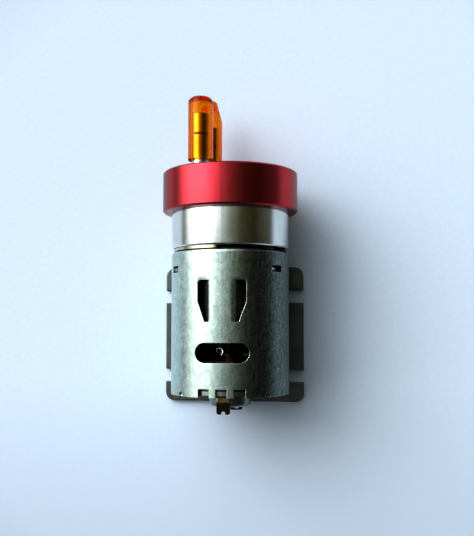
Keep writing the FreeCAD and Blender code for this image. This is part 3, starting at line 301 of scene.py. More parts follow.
def zinc_can(name="zinc_can", tone=1.0):
    """Zinc-plated drawn can: fine spangle, blotches, draw marks and rings at the shoulder, paler edges that
    are partly worn plating and partly painted highlight, painted shade in blotches over its right side, and
    painted shade on its inside.

    A tone below 1 makes it darker all over, as on the rear cover.
    """
    look = Look(name)
    wrapped = look.round_axis(AXIS, CAN_RADIUS * PER_MM)
    grain = look.noise(look.place, 2600.0, 4.0, 0.7)
    patch = look.noise(look.stretched((1250.0, 700.0, 1250.0)), 1.0, 6.0, 0.68)
    flecks = look.noise(look.place, 2100.0, 3.0, 0.6)
    cloud = look.noise(look.place, 90.0, 3.0, 0.5)
    spangle = look.split(look.cells(1500.0).outputs["Color"])[0]
    pits = look.noise(look.place, 2500.0, 3.0)
    drawn = look.noise(look.scaled(wrapped, (2.2, 0.07, 1.0)), 1.0, 4.0, 0.6)
    scored = look.noise(look.scaled(wrapped, (0.12, 4.0, 1.0)), 1.0, 3.0, 0.6)
    soft, mask = look.edges(louvre_softness(look))
    inside = look.facing_axis(AXIS)

    side = look.share(look.split(look.place)[0], RIGHT_SHADE_FROM, RIGHT_SHADE_SPAN)
    # Painted shade: the can's right side darkens, in blotches.
    right_side_shade = look.math("MULTIPLY", side, look.ramp(patch, (0.35, 0.97), (0.65, 0.80)))
    colour = look.ramp(cloud, (0.3, (0.57, 0.68, 0.63)), (0.7, (0.70, 0.80, 0.755)))
    colour = look.mix(look.ramp(patch, (0.40, 0.62), (0.60, 0.0)), colour, (0.36, 0.46, 0.42))
    colour = look.mix(look.ramp(spangle, (0.0, 0.5), (0.5, 0.0)), colour, (0.40, 0.50, 0.46))
    colour = look.mix(look.ramp(pits, (0.62, 0.0), (0.74, 0.5)), colour, (0.12, 0.13, 0.13))
    colour = look.mix(right_side_shade, colour, (0.065, 0.088, 0.078))
    colour = look.mix(look.ramp(flecks, (0.55, 0.0), (0.68, 0.5)), colour, (0.50, 0.59, 0.57))
    colour = look.mix(look.ramp(drawn, (0.55, 0.0), (0.72, 0.22)), colour, (0.74, 0.80, 0.77))
    # Paler edges: partly worn plating, partly a painted highlight along the rims.
    colour = look.mix(look.math("MULTIPLY", mask, 0.55), colour, (0.80, 0.85, 0.82))
    colour = look.mix(1.0 - tone, colour, (0.03, 0.034, 0.032))
    # Painted shade: faces turned towards the axis, the inside of the can, are made nearly black.
    colour = look.mix(inside, colour, (0.06, 0.062, 0.058))

    rough = look.ramp(patch, (0.32, 0.25), (0.68, 0.38))
    rough = look.mix(0.5, rough, look.ramp(grain, (0.3, 0.22), (0.7, 0.40)))
    rough = look.mix(inside, rough, (0.6, 0.6, 0.6))
    normal = look.bump(grain, 9e-6, 0.9, soft)
    normal = look.bump(patch, 22e-6, 0.7, normal)
    normal = look.bump(scored, 5e-6, 0.35, normal)
    normal = look.bump(drawn, 5e-6, 0.3, normal)
    look.set(Base_Color=colour, Roughness=rough, Metallic=1.0, Normal=normal)
    return look.material


def polished_tube():
    """Polished gearbox tube: near mirror, with faint lathe rings and a few handling marks."""
    look = Look("polished_tube")
    rings = look.noise(look.round_axis(AXIS, 6.0), 3.0, 3.0, 0.5)
    smear = look.noise(look.place, 160.0, 5.0, 0.6, 0.4)
    haze = look.noise(look.place, 1400.0, 3.0)
    soft, mask = look.edges(0.1 * MM)
    colour = look.ramp(smear, (0.32, (0.66, 0.68, 0.65)), (0.7, (0.80, 0.81, 0.80)))
    # Paler edges: partly polish wear, partly a painted highlight.
    colour = look.mix(mask, colour, (0.92, 0.93, 0.93))
    rough = look.ramp(smear, (0.35, 0.10), (0.7, 0.19))
    rough = look.mix(0.35, rough, look.ramp(haze, (0.35, 0.08), (0.7, 0.26)))
    normal = look.bump(rings, 1.2e-6, 0.6, soft)
    normal = look.bump(smear, 6e-6, 0.25, normal)
    look.set(Base_Color=colour, Roughness=rough, Metallic=1.0, Normal=normal)
    return look.material


def red_collar():
    """Red anodised aluminium: turned rings under a satin dye, paler along the edges, partly where the dye
    is worn and partly as a painted highlight.
    """
    look = Look("red_collar")
    wrapped = look.round_axis(AXIS, 5.0)
    rings = look.noise(wrapped, 9.0, 3.0, 0.6)
    broad = look.noise(wrapped, 1.6, 2.0, 0.5)
    cloud = look.noise(look.place, 130.0, 4.0, 0.55)
    grain = look.noise(look.place, 3600.0, 2.0)
    soft, mask = look.edges(0.12 * MM)
    colour = look.ramp(cloud, (0.3, (0.43, 0.010, 0.022)), (0.7, (0.53, 0.017, 0.036)))
    colour = look.mix(look.ramp(rings, (0.4, 0.0), (0.7, 0.35)), colour, (0.68, 0.035, 0.060))
    # Paler edges: partly worn dye, partly a painted highlight.
    colour = look.mix(mask, colour, (0.50, 0.06, 0.085))
    rough = look.ramp(rings, (0.3, 0.18), (0.7, 0.26))
    rough = look.mix(0.4, rough, look.ramp(grain, (0.3, 0.15), (0.7, 0.30)))
    normal = look.bump(rings, 2.5e-6, 0.7, soft)
    normal = look.bump(broad, 4e-6, 0.4, normal)
    look.set(Base_Color=colour, Roughness=rough, Metallic=1.0, Normal=normal)
    look.set(Specular_Tint=(0.30, 0.06, 0.09, 1.0), Coat_Weight=0.85, Coat_Roughness=0.26)
    return look.material


def gunmetal_plate():
    """Dark passivated sheet steel with paler edges that are partly worn and partly painted highlight,
    duller blotches and fine scratches.
    """
    look = Look("gunmetal_plate")
    cloud = look.noise(look.place, 120.0, 5.0, 0.6)
    grain = look.noise(look.place, 2400.0, 3.0)
    rubs = look.noise(look.stretched((260.0, 2400.0, 600.0)), 1.0, 3.0)
    soft, mask = look.edges(0.14 * MM)
    colour = look.ramp(cloud, (0.28, (0.085, 0.092, 0.084)), (0.72, (0.16, 0.172, 0.158)))
    colour = look.mix(look.ramp(rubs, (0.62, 0.0), (0.75, 0.5)), colour, (0.26, 0.27, 0.26))
    # Paler edges: partly worn, partly a painted highlight.
    colour = look.mix(mask, colour, (0.30, 0.31, 0.30))
    rough = look.ramp(grain, (0.3, 0.34), (0.7, 0.52))
    normal = look.bump(grain, 5e-6, 0.7, soft)
    normal = look.bump(rubs, 3e-6, 0.5, normal)
    look.set(Base_Color=colour, Roughness=rough, Metallic=1.0, Normal=normal)
    return look.material


GROOVE_Y = 46.4 * MM
GROOVE_BAND_HALF_WIDTH = 0.2 * MM


def ground_shaft(name, centre, groove_y=None):
    """Centreless-ground shaft: bright, with very fine rings, paler edges that are partly worn and partly
    painted highlight, and a dark band along its groove.
    """
    look = Look(name)
    rings = look.noise(look.round_axis(centre, 3.0), 14.0, 3.0, 0.6)
    smear = look.noise(look.place, 500.0, 4.0)
    soft, mask = look.edges(0.06 * MM)
    colour = look.ramp(smear, (0.3, (0.60, 0.60, 0.58)), (0.7, (0.74, 0.74, 0.73)))
    # Paler edges: partly worn, partly a painted highlight.
    colour = look.mix(mask, colour, (0.88, 0.88, 0.87))
    if groove_y is not None:
        # Darker in a narrow band along the groove.
        dark_marks = look.near(look.split(look.place)[1], groove_y, GROOVE_BAND_HALF_WIDTH)
        colour = look.mix(dark_marks, colour, (0.05, 0.03, 0.02))
    rough = look.ramp(rings, (0.3, 0.07), (0.7, 0.15))
    look.set(Base_Color=colour, Roughness=rough, Metallic=1.0, Normal=look.bump(rings, 1.5e-6, 0.6, soft))
    return look.material


AMBER_TINT = (0.98, 0.80, 0.0, 1.0)
AMBER_DENSITY = 3200.0


def amber_sleeve():
    """Clear amber vinyl: light is absorbed along its path, so thick places are deeper orange."""
    look = Look("amber_sleeve")
    swirl = look.noise(look.place, 420.0, 3.0, 0.5, 0.6)
    ripple = look.noise(look.stretched((900.0, 320.0, 900.0)), 1.0, 2.0)
    dust = look.noise(look.place, 2600.0, 2.0)
    look.set(
        Base_Color=look.ramp(swirl, (0.3, (1.0, 0.90, 0.80)), (0.7, (1.0, 0.97, 0.92))),
        Roughness=look.ramp(dust, (0.5, 0.0), (0.8, 0.08)),
        Normal=look.bump(ripple, 8e-6, 0.2),
        IOR=1.42,
        Specular_Tint=(1.0, 0.55, 0.22, 1.0),
        Transmission_Weight=1.0,
        Metallic=0.0,
    )
    depth = look.add("ShaderNodeVolumeAbsorption")
    look.feed(depth, Color=AMBER_TINT, Density=AMBER_DENSITY)
    look.feed(look.output, Volume=depth.outputs["Volume"])
    return look.material


def laminations():
    """Stacked sheets: fine dark seams across the stack, faint rust bloom."""
    look = Look("laminations")
    sheets = look.add("ShaderNodeTexWave")
    sheets.wave_type = "BANDS"
    sheets.bands_direction = "Y"
    look.feed(sheets, Vector=look.place, Scale=640.0, Distortion=0.4)
    bloom = look.noise(look.place, 300.0, 5.0)
    colour = look.ramp(bloom, (0.35, (0.20, 0.20, 0.21)), (0.7, (0.32, 0.30, 0.28)))
    colour = look.mix(look.ramp(sheets.outputs["Fac"], (0.0, 0.8), (0.3, 0.0)), colour, (0.05, 0.05, 0.05))
    look.set(Base_Color=colour, Metallic=1.0, Roughness=look.ramp(bloom, (0.3, 0.32), (0.7, 0.5)))
    look.set(Normal=look.bump(sheets.outputs["Fac"], 2e-5, 0.6))
    return look.material


def enamelled_wire():
    """Copper wire under clear enamel, darkened well below bright copper as painted shade for the inside of
    the can.
    """
    look = Look("enamelled_wire")
    tone = look.noise(look.place, 700.0, 4.0)
    look.set(
        Base_Color=look.ramp(tone, (0.3, (0.060, 0.018, 0.008)), (0.7, (0.13, 0.042, 0.016))),
        Metallic=1.0,
        Roughness=look.ramp(tone, (0.3, 0.2), (0.7, 0.34)),
        Coat_Weight=0.8,
        Coat_Roughness=0.08,
        Normal=look.bump(tone, 4e-6),
    )
    return look.material


# Painted shade darkens the terminals towards -Y, past y = -14.6 mm and over 0.4 mm, along a line that
# wavers.
TAB_SHADE_FROM = -14.6 * MM
TAB_SHADE_SPAN = 0.4 * MM
TAB_SHADE_WAVER = 0.6 * MM


def terminal_with_shade():
    """Tinned bronze tab: golden at the root, with painted shade that turns it nearly black towards its end.
    """
    look = Look("terminal_with_shade")
    stain = look.noise(look.place, 600.0, 5.0, 0.6)
    grain = look.noise(look.place, 2800.0, 3.0)
    soft, mask = look.edges(0.06 * MM)
    along = look.math("ADD", look.split(look.place)[1], look.math("MULTIPLY", stain, TAB_SHADE_WAVER))
    root = look.share(along, TAB_SHADE_FROM, TAB_SHADE_SPAN)
    # Painted shade: the nearly black end of the tab.
    end_shade = look.ramp(stain, (0.3, (0.010, 0.008, 0.007)), (0.7, (0.035, 0.022, 0.014)))
    golden = look.ramp(stain, (0.3, (0.20, 0.12, 0.03)), (0.7, (0.42, 0.27, 0.08)))
    colour = look.mix(root, end_shade, golden)
    # Slightly paler edges: partly worn, partly a painted highlight.
    colour = look.mix(look.math("MULTIPLY", mask, 0.25), colour, (0.4, 0.36, 0.3))
    look.set(
        Base_Color=colour,
        Metallic=0.9,
        Roughness=look.ramp(grain, (0.3, 0.24), (0.7, 0.42)),
        Normal=look.bump(grain, 5e-6, 0.8, soft),
    )
    return look.material


# Painted shade makes the rim black to the right of x = -2.2 mm, after a change over 1.11 mm.
RIM_SHADE_FROM = -2.2 * MM
RIM_SHADE_SPAN = 1.11 * MM


def cream_rim():
    """Yellow-passivated zinc: pale cream with cloudy iridescence, and painted shade that blackens its right
    side.
    """
    look = Look("cream_rim")
    cloud = look.noise(look.place, 420.0, 4.0, 0.55, 0.5)
    dark_marks = look.noise(look.place, 1500.0, 4.0)
    cream, pale, greenish = (0.50, 0.43, 0.28), (0.66, 0.62, 0.48), (0.58, 0.61, 0.50)
    colour = look.ramp(cloud, (0.25, cream), (0.5, pale), (0.75, greenish))
    colour = look.mix(look.ramp(dark_marks, (0.58, 0.0), (0.72, 0.6)), colour, (0.16, 0.13, 0.08))
    # Painted shade: the right side of the rim goes black.
    rim_shade = look.share(look.split(look.place)[0], RIM_SHADE_FROM, RIM_SHADE_SPAN)
    colour = look.mix(rim_shade, colour, (0.012, 0.011, 0.010))
    look.set(
        Base_Color=colour,
        Metallic=1.0,
        Roughness=look.ramp(dark_marks, (0.3, 0.12), (0.7, 0.24)),
        Normal=look.bump(dark_marks, 3e-6),
    )
    return look.material


def magnet_block():
    """Pressed ferrite: nearly black, dusty and rough."""
    look = Look("magnet_block")
    grit = look.noise(look.place, 1900.0, 5.0, 0.7)
    cloud = look.noise(look.place, 240.0, 3.0)
    look.set(
        Base_Color=look.ramp(cloud, (0.3, (0.03, 0.03, 0.032)), (0.7, (0.055, 0.054, 0.055))),
        Roughness=look.ramp(grit, (0.3, 0.5), (0.7, 0.75)),
        Normal=look.bump(grit, 1.4e-5),
    )
    return look.material


def oiled_bronze():
    """Sintered bronze: open pores that hold oil."""
    look = Look("oiled_bronze")
    pores = look.cells(4200.0).outputs["Distance"]
    tone = look.noise(look.place, 900.0, 4.0)
    colour = look.ramp(tone, (0.3, (0.34, 0.22, 0.10)), (0.7, (0.52, 0.36, 0.18)))
    colour = look.mix(look.ramp(pores, (0.1, 0.7), (0.3, 0.0)), colour, (0.08, 0.05, 0.025))
    look.set(
        Base_Color=colour,
        Metallic=1.0,
        Roughness=look.ramp(tone, (0.3, 0.3), (0.7, 0.48)),
        Normal=look.bump(pores, 1.2e-5, 0.6),
    )
    return look.material


# How far the edges of gears and screws are softened, and the relief of felted fibre.
GEAR_EDGE = 0.05 * MM
SCREW_EDGE = 0.06 * MM
FELT = 1.2e-5


def slot_looks():
    """One finished material for each material slot of the record."""
    return {
        "gunmetal_steel": gunmetal_plate(),
        "zinc_steel": zinc_can(),
        "sintered_bronze": oiled_bronze(),
        "ferrite": magnet_block(),
        "spring_steel": metal("spring_steel_look", (0.58, 0.60, 0.62), (0.78, 0.79, 0.80), 0.2),
        "black_nylon": plastic("black_nylon_look", (0.012, 0.012, 0.013), (0.03, 0.03, 0.03), 0.42),
        "tinned_bronze": terminal_with_shade(),
        # Painted shade: brush copper is darkened well below bright copper, so the arms stay dark inside the
        # can.
        "brush_copper": metal("brush_copper_look", (0.15, 0.07, 0.04), (0.26, 0.13, 0.075), 0.32),
        "brush_carbon": plastic("brush_carbon_look", (0.015, 0.015, 0.016), (0.04, 0.04, 0.042), 0.5),
        "ground_steel": ground_shaft("ground_steel_look", AXIS),
        "lamination_steel": laminations(),
        "enamelled_copper": enamelled_wire(),
        "insulation_fibre": plastic("insulation_fibre_look", (0.20, 0.22, 0.16), (0.34, 0.36, 0.27), 0.7),
        # Painted shade: the commutator and its phenolic sleeve are darkened, so they stay dark inside the
        # can.
        "commutator_copper": metal("commutator_look", (0.065, 0.036, 0.024), (0.12, 0.066, 0.042), 0.34),
        "phenolic": plastic("phenolic_look", (0.022, 0.012, 0.009), (0.05, 0.024, 0.014), 0.5),
        "white_acetal": plastic("white_acetal_look", (0.74, 0.74, 0.71), (0.86, 0.86, 0.84), 0.38),
        "gear_brass": metal("gear_brass_look", (0.60, 0.42, 0.15), (0.78, 0.58, 0.26), 0.24, GEAR_EDGE),
        "gear_steel": metal("gear_steel_look", (0.34, 0.34, 0.34), (0.52, 0.52, 0.51), 0.26, GEAR_EDGE),
        "black_fibre": plastic("black_fibre_look", (0.008, 0.008, 0.008), (0.022, 0.021, 0.02), 0.75, FELT),
        "pale_zinc": cream_rim(),
        "screw_steel": metal("screw_steel_look", (0.34, 0.35, 0.37), (0.54, 0.55, 0.56), 0.24, SCREW_EDGE),
        "nickel_steel": polished_tube(),
        "red_anodised": red_collar(),
        "amber_vinyl": amber_sleeve(),
    }


LOOKS = slot_looks()


def dress_nodes():
    """Gives every CAD node the finished look of its material slot."""
    for node in NODES.values():
        for entry in node.material_slots:
            name = entry.material.name.split(".")[0]
            entry.material = LOOKS[name]


def dress(name, material):
    """Gives one CAD node a look of its own."""
    for entry in NODES[name].material_slots:
        entry.material = material


dress_nodes()
dress("end_plate", zinc_can("zinc_cover", COVER_TONE))
for output_side in ("upper", "lower"):
    shaft = "output_shaft_" + output_side
    dress(shaft, ground_shaft("output_shaft_look_" + output_side, tuple(middle(shaft)), GROOVE_Y))


# ---- mesh helpers --------------------------------------------------------------------
def new_piece(name, mesh, material, body):
    """Smooth-shaded piece that rides a body and belongs to a material slot."""
    piece = bpy.data.objects.new(name, mesh)
    bpy.context.scene.collection.objects.link(piece)
    mesh.materials.append(material)
    for face in mesh.polygons:
        face.use_smooth = True
    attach(piece, body)
    return piece


def to_mesh(shape, name):
    """Turns a bmesh into a mesh and frees it."""
    mesh = bpy.data.meshes.new(name)
    shape.to_mesh(mesh)
    shape.free()
    return mesh


def closed_mesh(shape, name):
    """Mesh of a closed surface, its normals turned outwards."""
    bmesh.ops.recalc_face_normals(shape, faces=shape.faces)
    return to_mesh(shape, name)


def lathe(name, profile, centre, segments, wobble, twist):
    """Closed surface turned about an axis parallel to Y; profile is (radius, y) pairs.

    A radius of 0 at either end closes the surface with a fan. The surface is out of round by
    wobble, a share of its radius, and twist turns that along Y, in radians per metre.
    """
    shape = bmesh.new()
    rows = []
    for radius, y in profile:
        if radius == 0.0:
            rows.append([shape.verts.new((centre.x, y, centre.z))])
            continue
        row = []
        for step in range(segments):
            angle = 2 * math.pi * step / segments
            reach = radius * (1 + wobble * math.sin(2 * angle + twist * y))
            place = (centre.x + reach * math.sin(angle), y, centre.z + reach * math.cos(angle))
            row.append(shape.verts.new(place))
        rows.append(row)
    for row, following in zip(rows, rows[1:]):
        for step in range(segments):
            ahead = (step + 1) % segments
            if len(row) == 1:
                shape.faces.new((row[0], following[step], following[ahead]))
            elif len(following) == 1:
                shape.faces.new((row[ahead], row[step], following[0]))
            else:
                shape.faces.new((row[ahead], row[step], following[step], following[ahead]))
    return closed_mesh(shape, name)


def arc(centre_radius, centre_y, reach, start, end, steps):
    """Points of a round corner in the (radius, y) plane, angles from +radius towards +y."""
    points = []
    for step in range(steps + 1):
        angle = math.radians(start + (end - start) * step / steps)
        points.append((centre_radius + reach * math.cos(angle), centre_y + reach * math.sin(angle)))
    return points


def smooth_run(first, last, steps):
    """Evenly spaced (radius, y) points between two ends, without the ends."""
    return [
        (first[0] + (last[0] - first[0]) * step / steps, first[1] + (last[1] - first[1]) * step / steps)
        for step in range(1, steps)
    ]


def dome(wall, corner, depth):
    """Flat end that turns down into a wall through a quarter round, (radius, depth) points."""
    points = [(0.0, depth), (0.5 * (wall - corner), depth)]
    for radius, drop in arc(wall - corner, 0.0, corner, 90, 0, DOME_STEPS):
        points.append((radius, depth + corner - drop))
    return points


def sweep(shape, path, radius, sides, closed):
    """Adds a round wire along a path to a bmesh."""
    count = len(path)
    rows = []
    for index, point in enumerate(path):
        before = path[index - 1] if closed or index else point
        after = path[(index + 1) % count] if closed or index + 1 < count else point
        tangent = (after - before).normalized()
        reference = Vector((0.0, 1.0, 0.0)) if abs(tangent.y) < 0.9 else Vector((1.0, 0.0, 0.0))
        first = tangent.cross(reference).normalized()
        if rows and first.dot(previous) < 0:
            first = -first
        previous = first
        second = tangent.cross(first)
        row = []
        for step in range(sides):
            angle = 2 * math.pi * step / sides
            spoke = math.cos(angle) * first + math.sin(angle) * second
            row.append(shape.verts.new(point + radius * spoke))
        rows.append(row)
    pairs = list(zip(rows, rows[1:])) + ([(rows[-1], rows[0])] if closed else [])
    for row, following in pairs:
        offset = min(range(sides), key=lambda step: (following[step].co - row[0].co).length)
        facing = following[offset:] + following[:offset]
        for step in range(sides):
            ahead = (step + 1) % sides
            shape.faces.new((row[step], row[ahead], facing[ahead], facing[step]))
    if not closed:
        shape.faces.new(rows[0])
        shape.faces.new(rows[-1])


def loft(shape, rows):
    """Skin between rows of four corners, closed at both ends."""
    for row, following in zip(rows, rows[1:]):
        for index in range(4):
            ahead = (index + 1) % 4
            shape.faces.new((row[index], row[ahead], following[ahead], following[index]))
    shape.faces.new(rows[0])
    shape.faces.new(rows[-1])


def about_motor(angle):
    """Turns a point drawn on the +Z side of the motor axis to an angle round it."""
    lift = Matrix.Translation(Vector(AXIS))
    return lift @ Matrix.Rotation(angle, 4, "Y")


# ---- amber sleeves -------------------------------------------------------------------
# Corners are the radii of round corners. Depths are measured from a cap's closed end, and the
# chamber is the air left between that end and the shaft.
CAP_RADIUS = 2.92 * MM
CAP_BORE = 2.04 * MM
CAP_LIP = 0.2 * MM
CAP_SEGMENTS = 96
CAP_WOBBLE = 0.003
CAP_TWIST = 900.0
CAP_WALL = CAP_RADIUS * (1 - CAP_WOBBLE)
CAP_STEPS = 10
DOME_STEPS = 10
LIP_STEPS = 5
UPPER_CORNER = 1.3 * MM
UPPER_CHAMBER_CORNER = 0.75 * MM
UPPER_CHAMBER_DEPTH = 1.15 * MM
LOWER_TIP_RADIUS = 1.75 * MM
LOWER_TIP_CORNER = 0.8 * MM
LOWER_TAPER_DEPTH = 5.2 * MM
LOWER_CHAMBER_RADIUS = 1.2 * MM
LOWER_CHAMBER_CORNER = 0.55 * MM
LOWER_CHAMBER_DEPTH = 2.2 * MM
LOWER_BORE_DEPTH = 5.0 * MM


def amber_cap(side, crown, chamber):
    """Dip-moulded sleeve: closed end, rolled lip, and a bore that ends in an air chamber.

    crown and chamber run from the axis to the wall as (radius, depth) points, depth measured
    from the closed end.
    """
    node = "end_cap_" + side
    name = "amber_cap_" + side
    low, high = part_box(node)
    lip_y = low.y + CAP_LIP
    profile = [(radius, high.y - depth) for radius, depth in crown]
    profile += smooth_run(profile[-1], (CAP_WALL, lip_y), CAP_STEPS)
    profile += arc(CAP_WALL - CAP_LIP, lip_y, CAP_LIP, 0, -90, LIP_STEPS)
    profile += arc(CAP_BORE + CAP_LIP, lip_y, CAP_LIP, -90, -180, LIP_STEPS)
    inner = [(radius, high.y - depth) for radius, depth in reversed(chamber)]
    profile += smooth_run((CAP_BORE, lip_y), inner[0], CAP_STEPS)
    profile += inner
    mesh = lathe(name, profile, (low + high) / 2, CAP_SEGMENTS, CAP_WOBBLE, CAP_TWIST)
    piece = new_piece(name, mesh, LOOKS["amber_vinyl"], side + "_output")
    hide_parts(node)


def lower_crown():
    """Blunt tip of the lower cap and the cone that widens to its wall."""
    tip = dome(LOWER_TIP_RADIUS, LOWER_TIP_CORNER, 0.0)
    shoulder = (CAP_WALL, LOWER_TAPER_DEPTH)
    return tip + smooth_run(tip[-1], shoulder, CAP_STEPS) + [shoulder]


def lower_chamber():
    """Air space under the blunt tip, widening to the bore."""
    end = dome(LOWER_CHAMBER_RADIUS, LOWER_CHAMBER_CORNER, LOWER_CHAMBER_DEPTH)
    return end + [(CAP_BORE, LOWER_BORE_DEPTH)]


amber_cap(
    "upper",
    dome(CAP_WALL, UPPER_CORNER, 0.0),
    dome(CAP_BORE, UPPER_CHAMBER_CORNER, UPPER_CHAMBER_DEPTH),
)
amber_cap("lower", lower_crown(), lower_chamber())


# ---- rotor wire ----------------------------------------------------------------------
WIRE_RADIUS = 0.23 * MM
WIRE_SIDES = 6
POLES = 5
COIL_INNER = 4.25 * MM
COIL_OUTER = 8.0 * MM
COIL_HALF_AT_INNER = 2.5 * MM
COIL_HALF_AT_OUTER = 3.75 * MM
COIL_TURNS_SHOWN = 9
COIL_CORNER = 1.0 * MM
COIL_CORNER_STEPS = 4
COIL_END = 1.98 * MM
COIL_SWAY = 0.06 * MM
SWAY_WAVES = 3
SWAY_SHIFT = 4000.0


def coil_loop(radius, half_width, rear, front):
    """Rounded rectangle at one radius on the +Z side, long along Y, its wire swaying a little."""
    inset = half_width - COIL_CORNER
    path = []
    for centre_x, centre_y, start in (
        (inset, front - COIL_CORNER, 0),
        (-inset, front - COIL_CORNER, 90),
        (-inset, rear + COIL_CORNER, 180),
        (inset, rear + COIL_CORNER, 270),
    ):
        for step in range(COIL_CORNER_STEPS + 1):
            angle = math.radians(start + 90 * step / COIL_CORNER_STEPS)
            sway = COIL_SWAY * math.sin(SWAY_WAVES * angle + SWAY_SHIFT * radius)
            path.append(Vector((
                centre_x + COIL_CORNER * math.cos(angle),
                centre_y + COIL_CORNER * math.sin(angle) + sway,
                radius + 0.5 * sway,
            )))
    return path


def wire_coils():
    """A few turns of wire shown on each pole, from the root of its coil outwards."""
    low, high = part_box("rotor_core")
    rear, front = low.y - COIL_END, high.y + COIL_END
    shape = bmesh.new()
    for pole in range(POLES):
        turn = about_motor(2 * math.pi * pole / POLES)
        for row in range(COIL_TURNS_SHOWN):
            share = row / (COIL_TURNS_SHOWN - 1)
            radius = COIL_INNER + (COIL_OUTER - COIL_INNER) * share
            half = COIL_HALF_AT_INNER + (COIL_HALF_AT_OUTER - COIL_HALF_AT_INNER) * share
            loop = coil_loop(radius, half, rear, front)
            sweep(shape, [turn @ point for point in loop], WIRE_RADIUS, WIRE_SIDES, True)
    mesh = closed_mesh(shape, "rotor_wire")
    new_piece("rotor_wire", mesh, LOOKS["enamelled_copper"], "rotor")


# A lead's route on the +Z side of the axis, in mm. y is from the coil's end for LEAD_DOWN and
# LEAD_UP, and from the commutator's tang for the rest.
LEAD_DOWN = ((1.1, 0.3, 6.4), (0.95, -0.5, 6.1), (0.85, -1.2, 5.5))
LEAD_IN = (0.8, 0.5, 5.0)
LEAD_OUT = (-0.5, 0.9, 5.1)
LEAD_UP = ((-0.75, -0.7, 5.8), (-0.8, 0.3, 6.4))
TANG_INSET = 0.3 * MM
HOOK_AT = (0.15, 0.0, 4.72)
HOOK_WIDTH = 0.65 * MM
HOOK_LENGTH = 0.45 * MM
HOOK_START = 35.0
HOOK_TURN = 250.0
HOOK_STEPS = 8


def lead_points(points, y):
    """Route points given in mm, moved along the axis to y."""
    return [Vector(point) * MM + Vector((0.0, y, 0.0)) for point in points]


def tang_hook(tang_y):
    """The open loop of a lead round its tang."""
    centre = lead_points([HOOK_AT], tang_y)[0]
    hook = []
    for step in range(HOOK_STEPS + 1):
        angle = math.radians(HOOK_START + HOOK_TURN * step / HOOK_STEPS)
        hook.append(centre + Vector((HOOK_WIDTH * math.cos(angle), -HOOK_LENGTH * math.sin(angle), 0.0)))
    return hook


def wire_leads():
    """The end of each coil, brought back to its commutator tang and hooked round it."""
    tang_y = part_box("commutator")[1].y - TANG_INSET
    coil_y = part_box("rotor_core")[0].y - COIL_END
    path = lead_points(LEAD_DOWN, coil_y) + lead_points([LEAD_IN], tang_y) + tang_hook(tang_y)
    path += lead_points([LEAD_OUT], tang_y) + lead_points(LEAD_UP, coil_y)
    shape = bmesh.new()
    for pole in range(POLES):
        turn = about_motor(2 * math.pi * pole / POLES)
        sweep(shape, [turn @ point for point in path], WIRE_RADIUS, WIRE_SIDES, False)
    mesh = closed_mesh(shape, "rotor_leads")
    new_piece("rotor_leads", mesh, LOOKS["enamelled_copper"], "rotor")


wire_coils()
wire_leads()


# ---- tongues pressed in behind the two punched windows --------------------------------
TONGUE_ANGLE = math.radians(58.0)
TONGUE_Y = 15.1 * MM
TONGUE_HALF_WIDTH = 1.45 * MM
TONGUE_HALF_LENGTH = 0.5 * MM
TONGUE_THICKNESS = 0.3 * MM
TONGUE_TOP = 13.45 * MM
TONGUE_DROP = 0.75 * MM
TONGUE_TAPER = 0.25
TONGUE_STEPS = 12


def tongue_ring(shape, turn, share):
    """Four corners of the tongue's cross-section, share of the way across its window."""
    across = TONGUE_HALF_WIDTH * (2 * share - 1)
    height = TONGUE_TOP - TONGUE_DROP * share ** 2 - across ** 2 / (2 * TONGUE_TOP)
    half = TONGUE_HALF_LENGTH * (1 - TONGUE_TAPER * share ** 2)
    corners = ((half, 0.0), (-half, 0.0), (-half, -TONGUE_THICKNESS), (half, -TONGUE_THICKNESS))
    return [shape.verts.new(turn @ Vector((across, TONGUE_Y + y, height + z))) for y, z in corners]


def punched_tongue(side, name):
    """Strip bent in across one window; side is -1 for the left window and 1 for the right."""
    shape = bmesh.new()
    turn = about_motor(side * TONGUE_ANGLE)
    steps = [step / TONGUE_STEPS for step in range(TONGUE_STEPS + 1)]
    loft(shape, [tongue_ring(shape, turn, share if side < 0 else 1 - share) for share in steps])
    new_piece(name, closed_mesh(shape, name), LOOKS["screw_steel"], "housing")


punched_tongue(-1, "tongue_left")
punched_tongue(1, "tongue_right")


# ---- curled end of the upper brush arm -------------------------------------------------
CURL_MIDDLE = Vector((-1.15, -3.5, 25.9)) * MM
CURL_HALF_WIDTH = 0.28 * MM
CURL_THICKNESS = 0.16 * MM
CURL_START = -60.0
CURL_TURN = 300.0
CURL_REACH = 0.75 * MM
CURL_TIGHTENING = 0.35 * MM
CURL_DROP = 0.9 * MM
CURL_UPRIGHT = 0.8
CURL_LEAN = 1.1
CURL_TAPER = 0.4
CURL_STEPS = 18


def arm_curl():
    """Thin strip bent into an open hook, seen through the slot in the top of the can."""
    shape = bmesh.new()
    rows = []
    for step in range(CURL_STEPS + 1):
        share = step / CURL_STEPS
        angle = math.radians(CURL_START + CURL_TURN * share)
        out = Vector((math.cos(angle), math.sin(angle), 0.0))
        reach = CURL_REACH - CURL_TIGHTENING * share
        middle_line = CURL_MIDDLE + reach * out - Vector((0.0, 0.0, CURL_DROP * share))
        tall = Vector((0.0, 0.0, CURL_UPRIGHT)) + CURL_LEAN * out
        half = CURL_HALF_WIDTH * (1 - CURL_TAPER * share)
        rows.append([
            shape.verts.new(middle_line + out * side * CURL_THICKNESS / 2 + tall * rise * half)
            for side, rise in ((-1, -1), (1, -1), (1, 1), (-1, 1))
        ])
    loft(shape, rows)
    new_piece("arm_curl", closed_mesh(shape, "arm_curl"), LOOKS["spring_steel"], "housing")


arm_curl()


# ---- floor, light and camera -----------------------------------------------------------
FLOOR_SIZE = 3.0
FLOOR_CELLS = 8
FLOOR_CENTRE = (0.0, 0.016, 0.0)
FLOOR_NEAR = 0.085
FLOOR_FAR = 0.26
FLOOR_SHADE_Y = -0.012
FLOOR_SHADE_FADE = 0.05


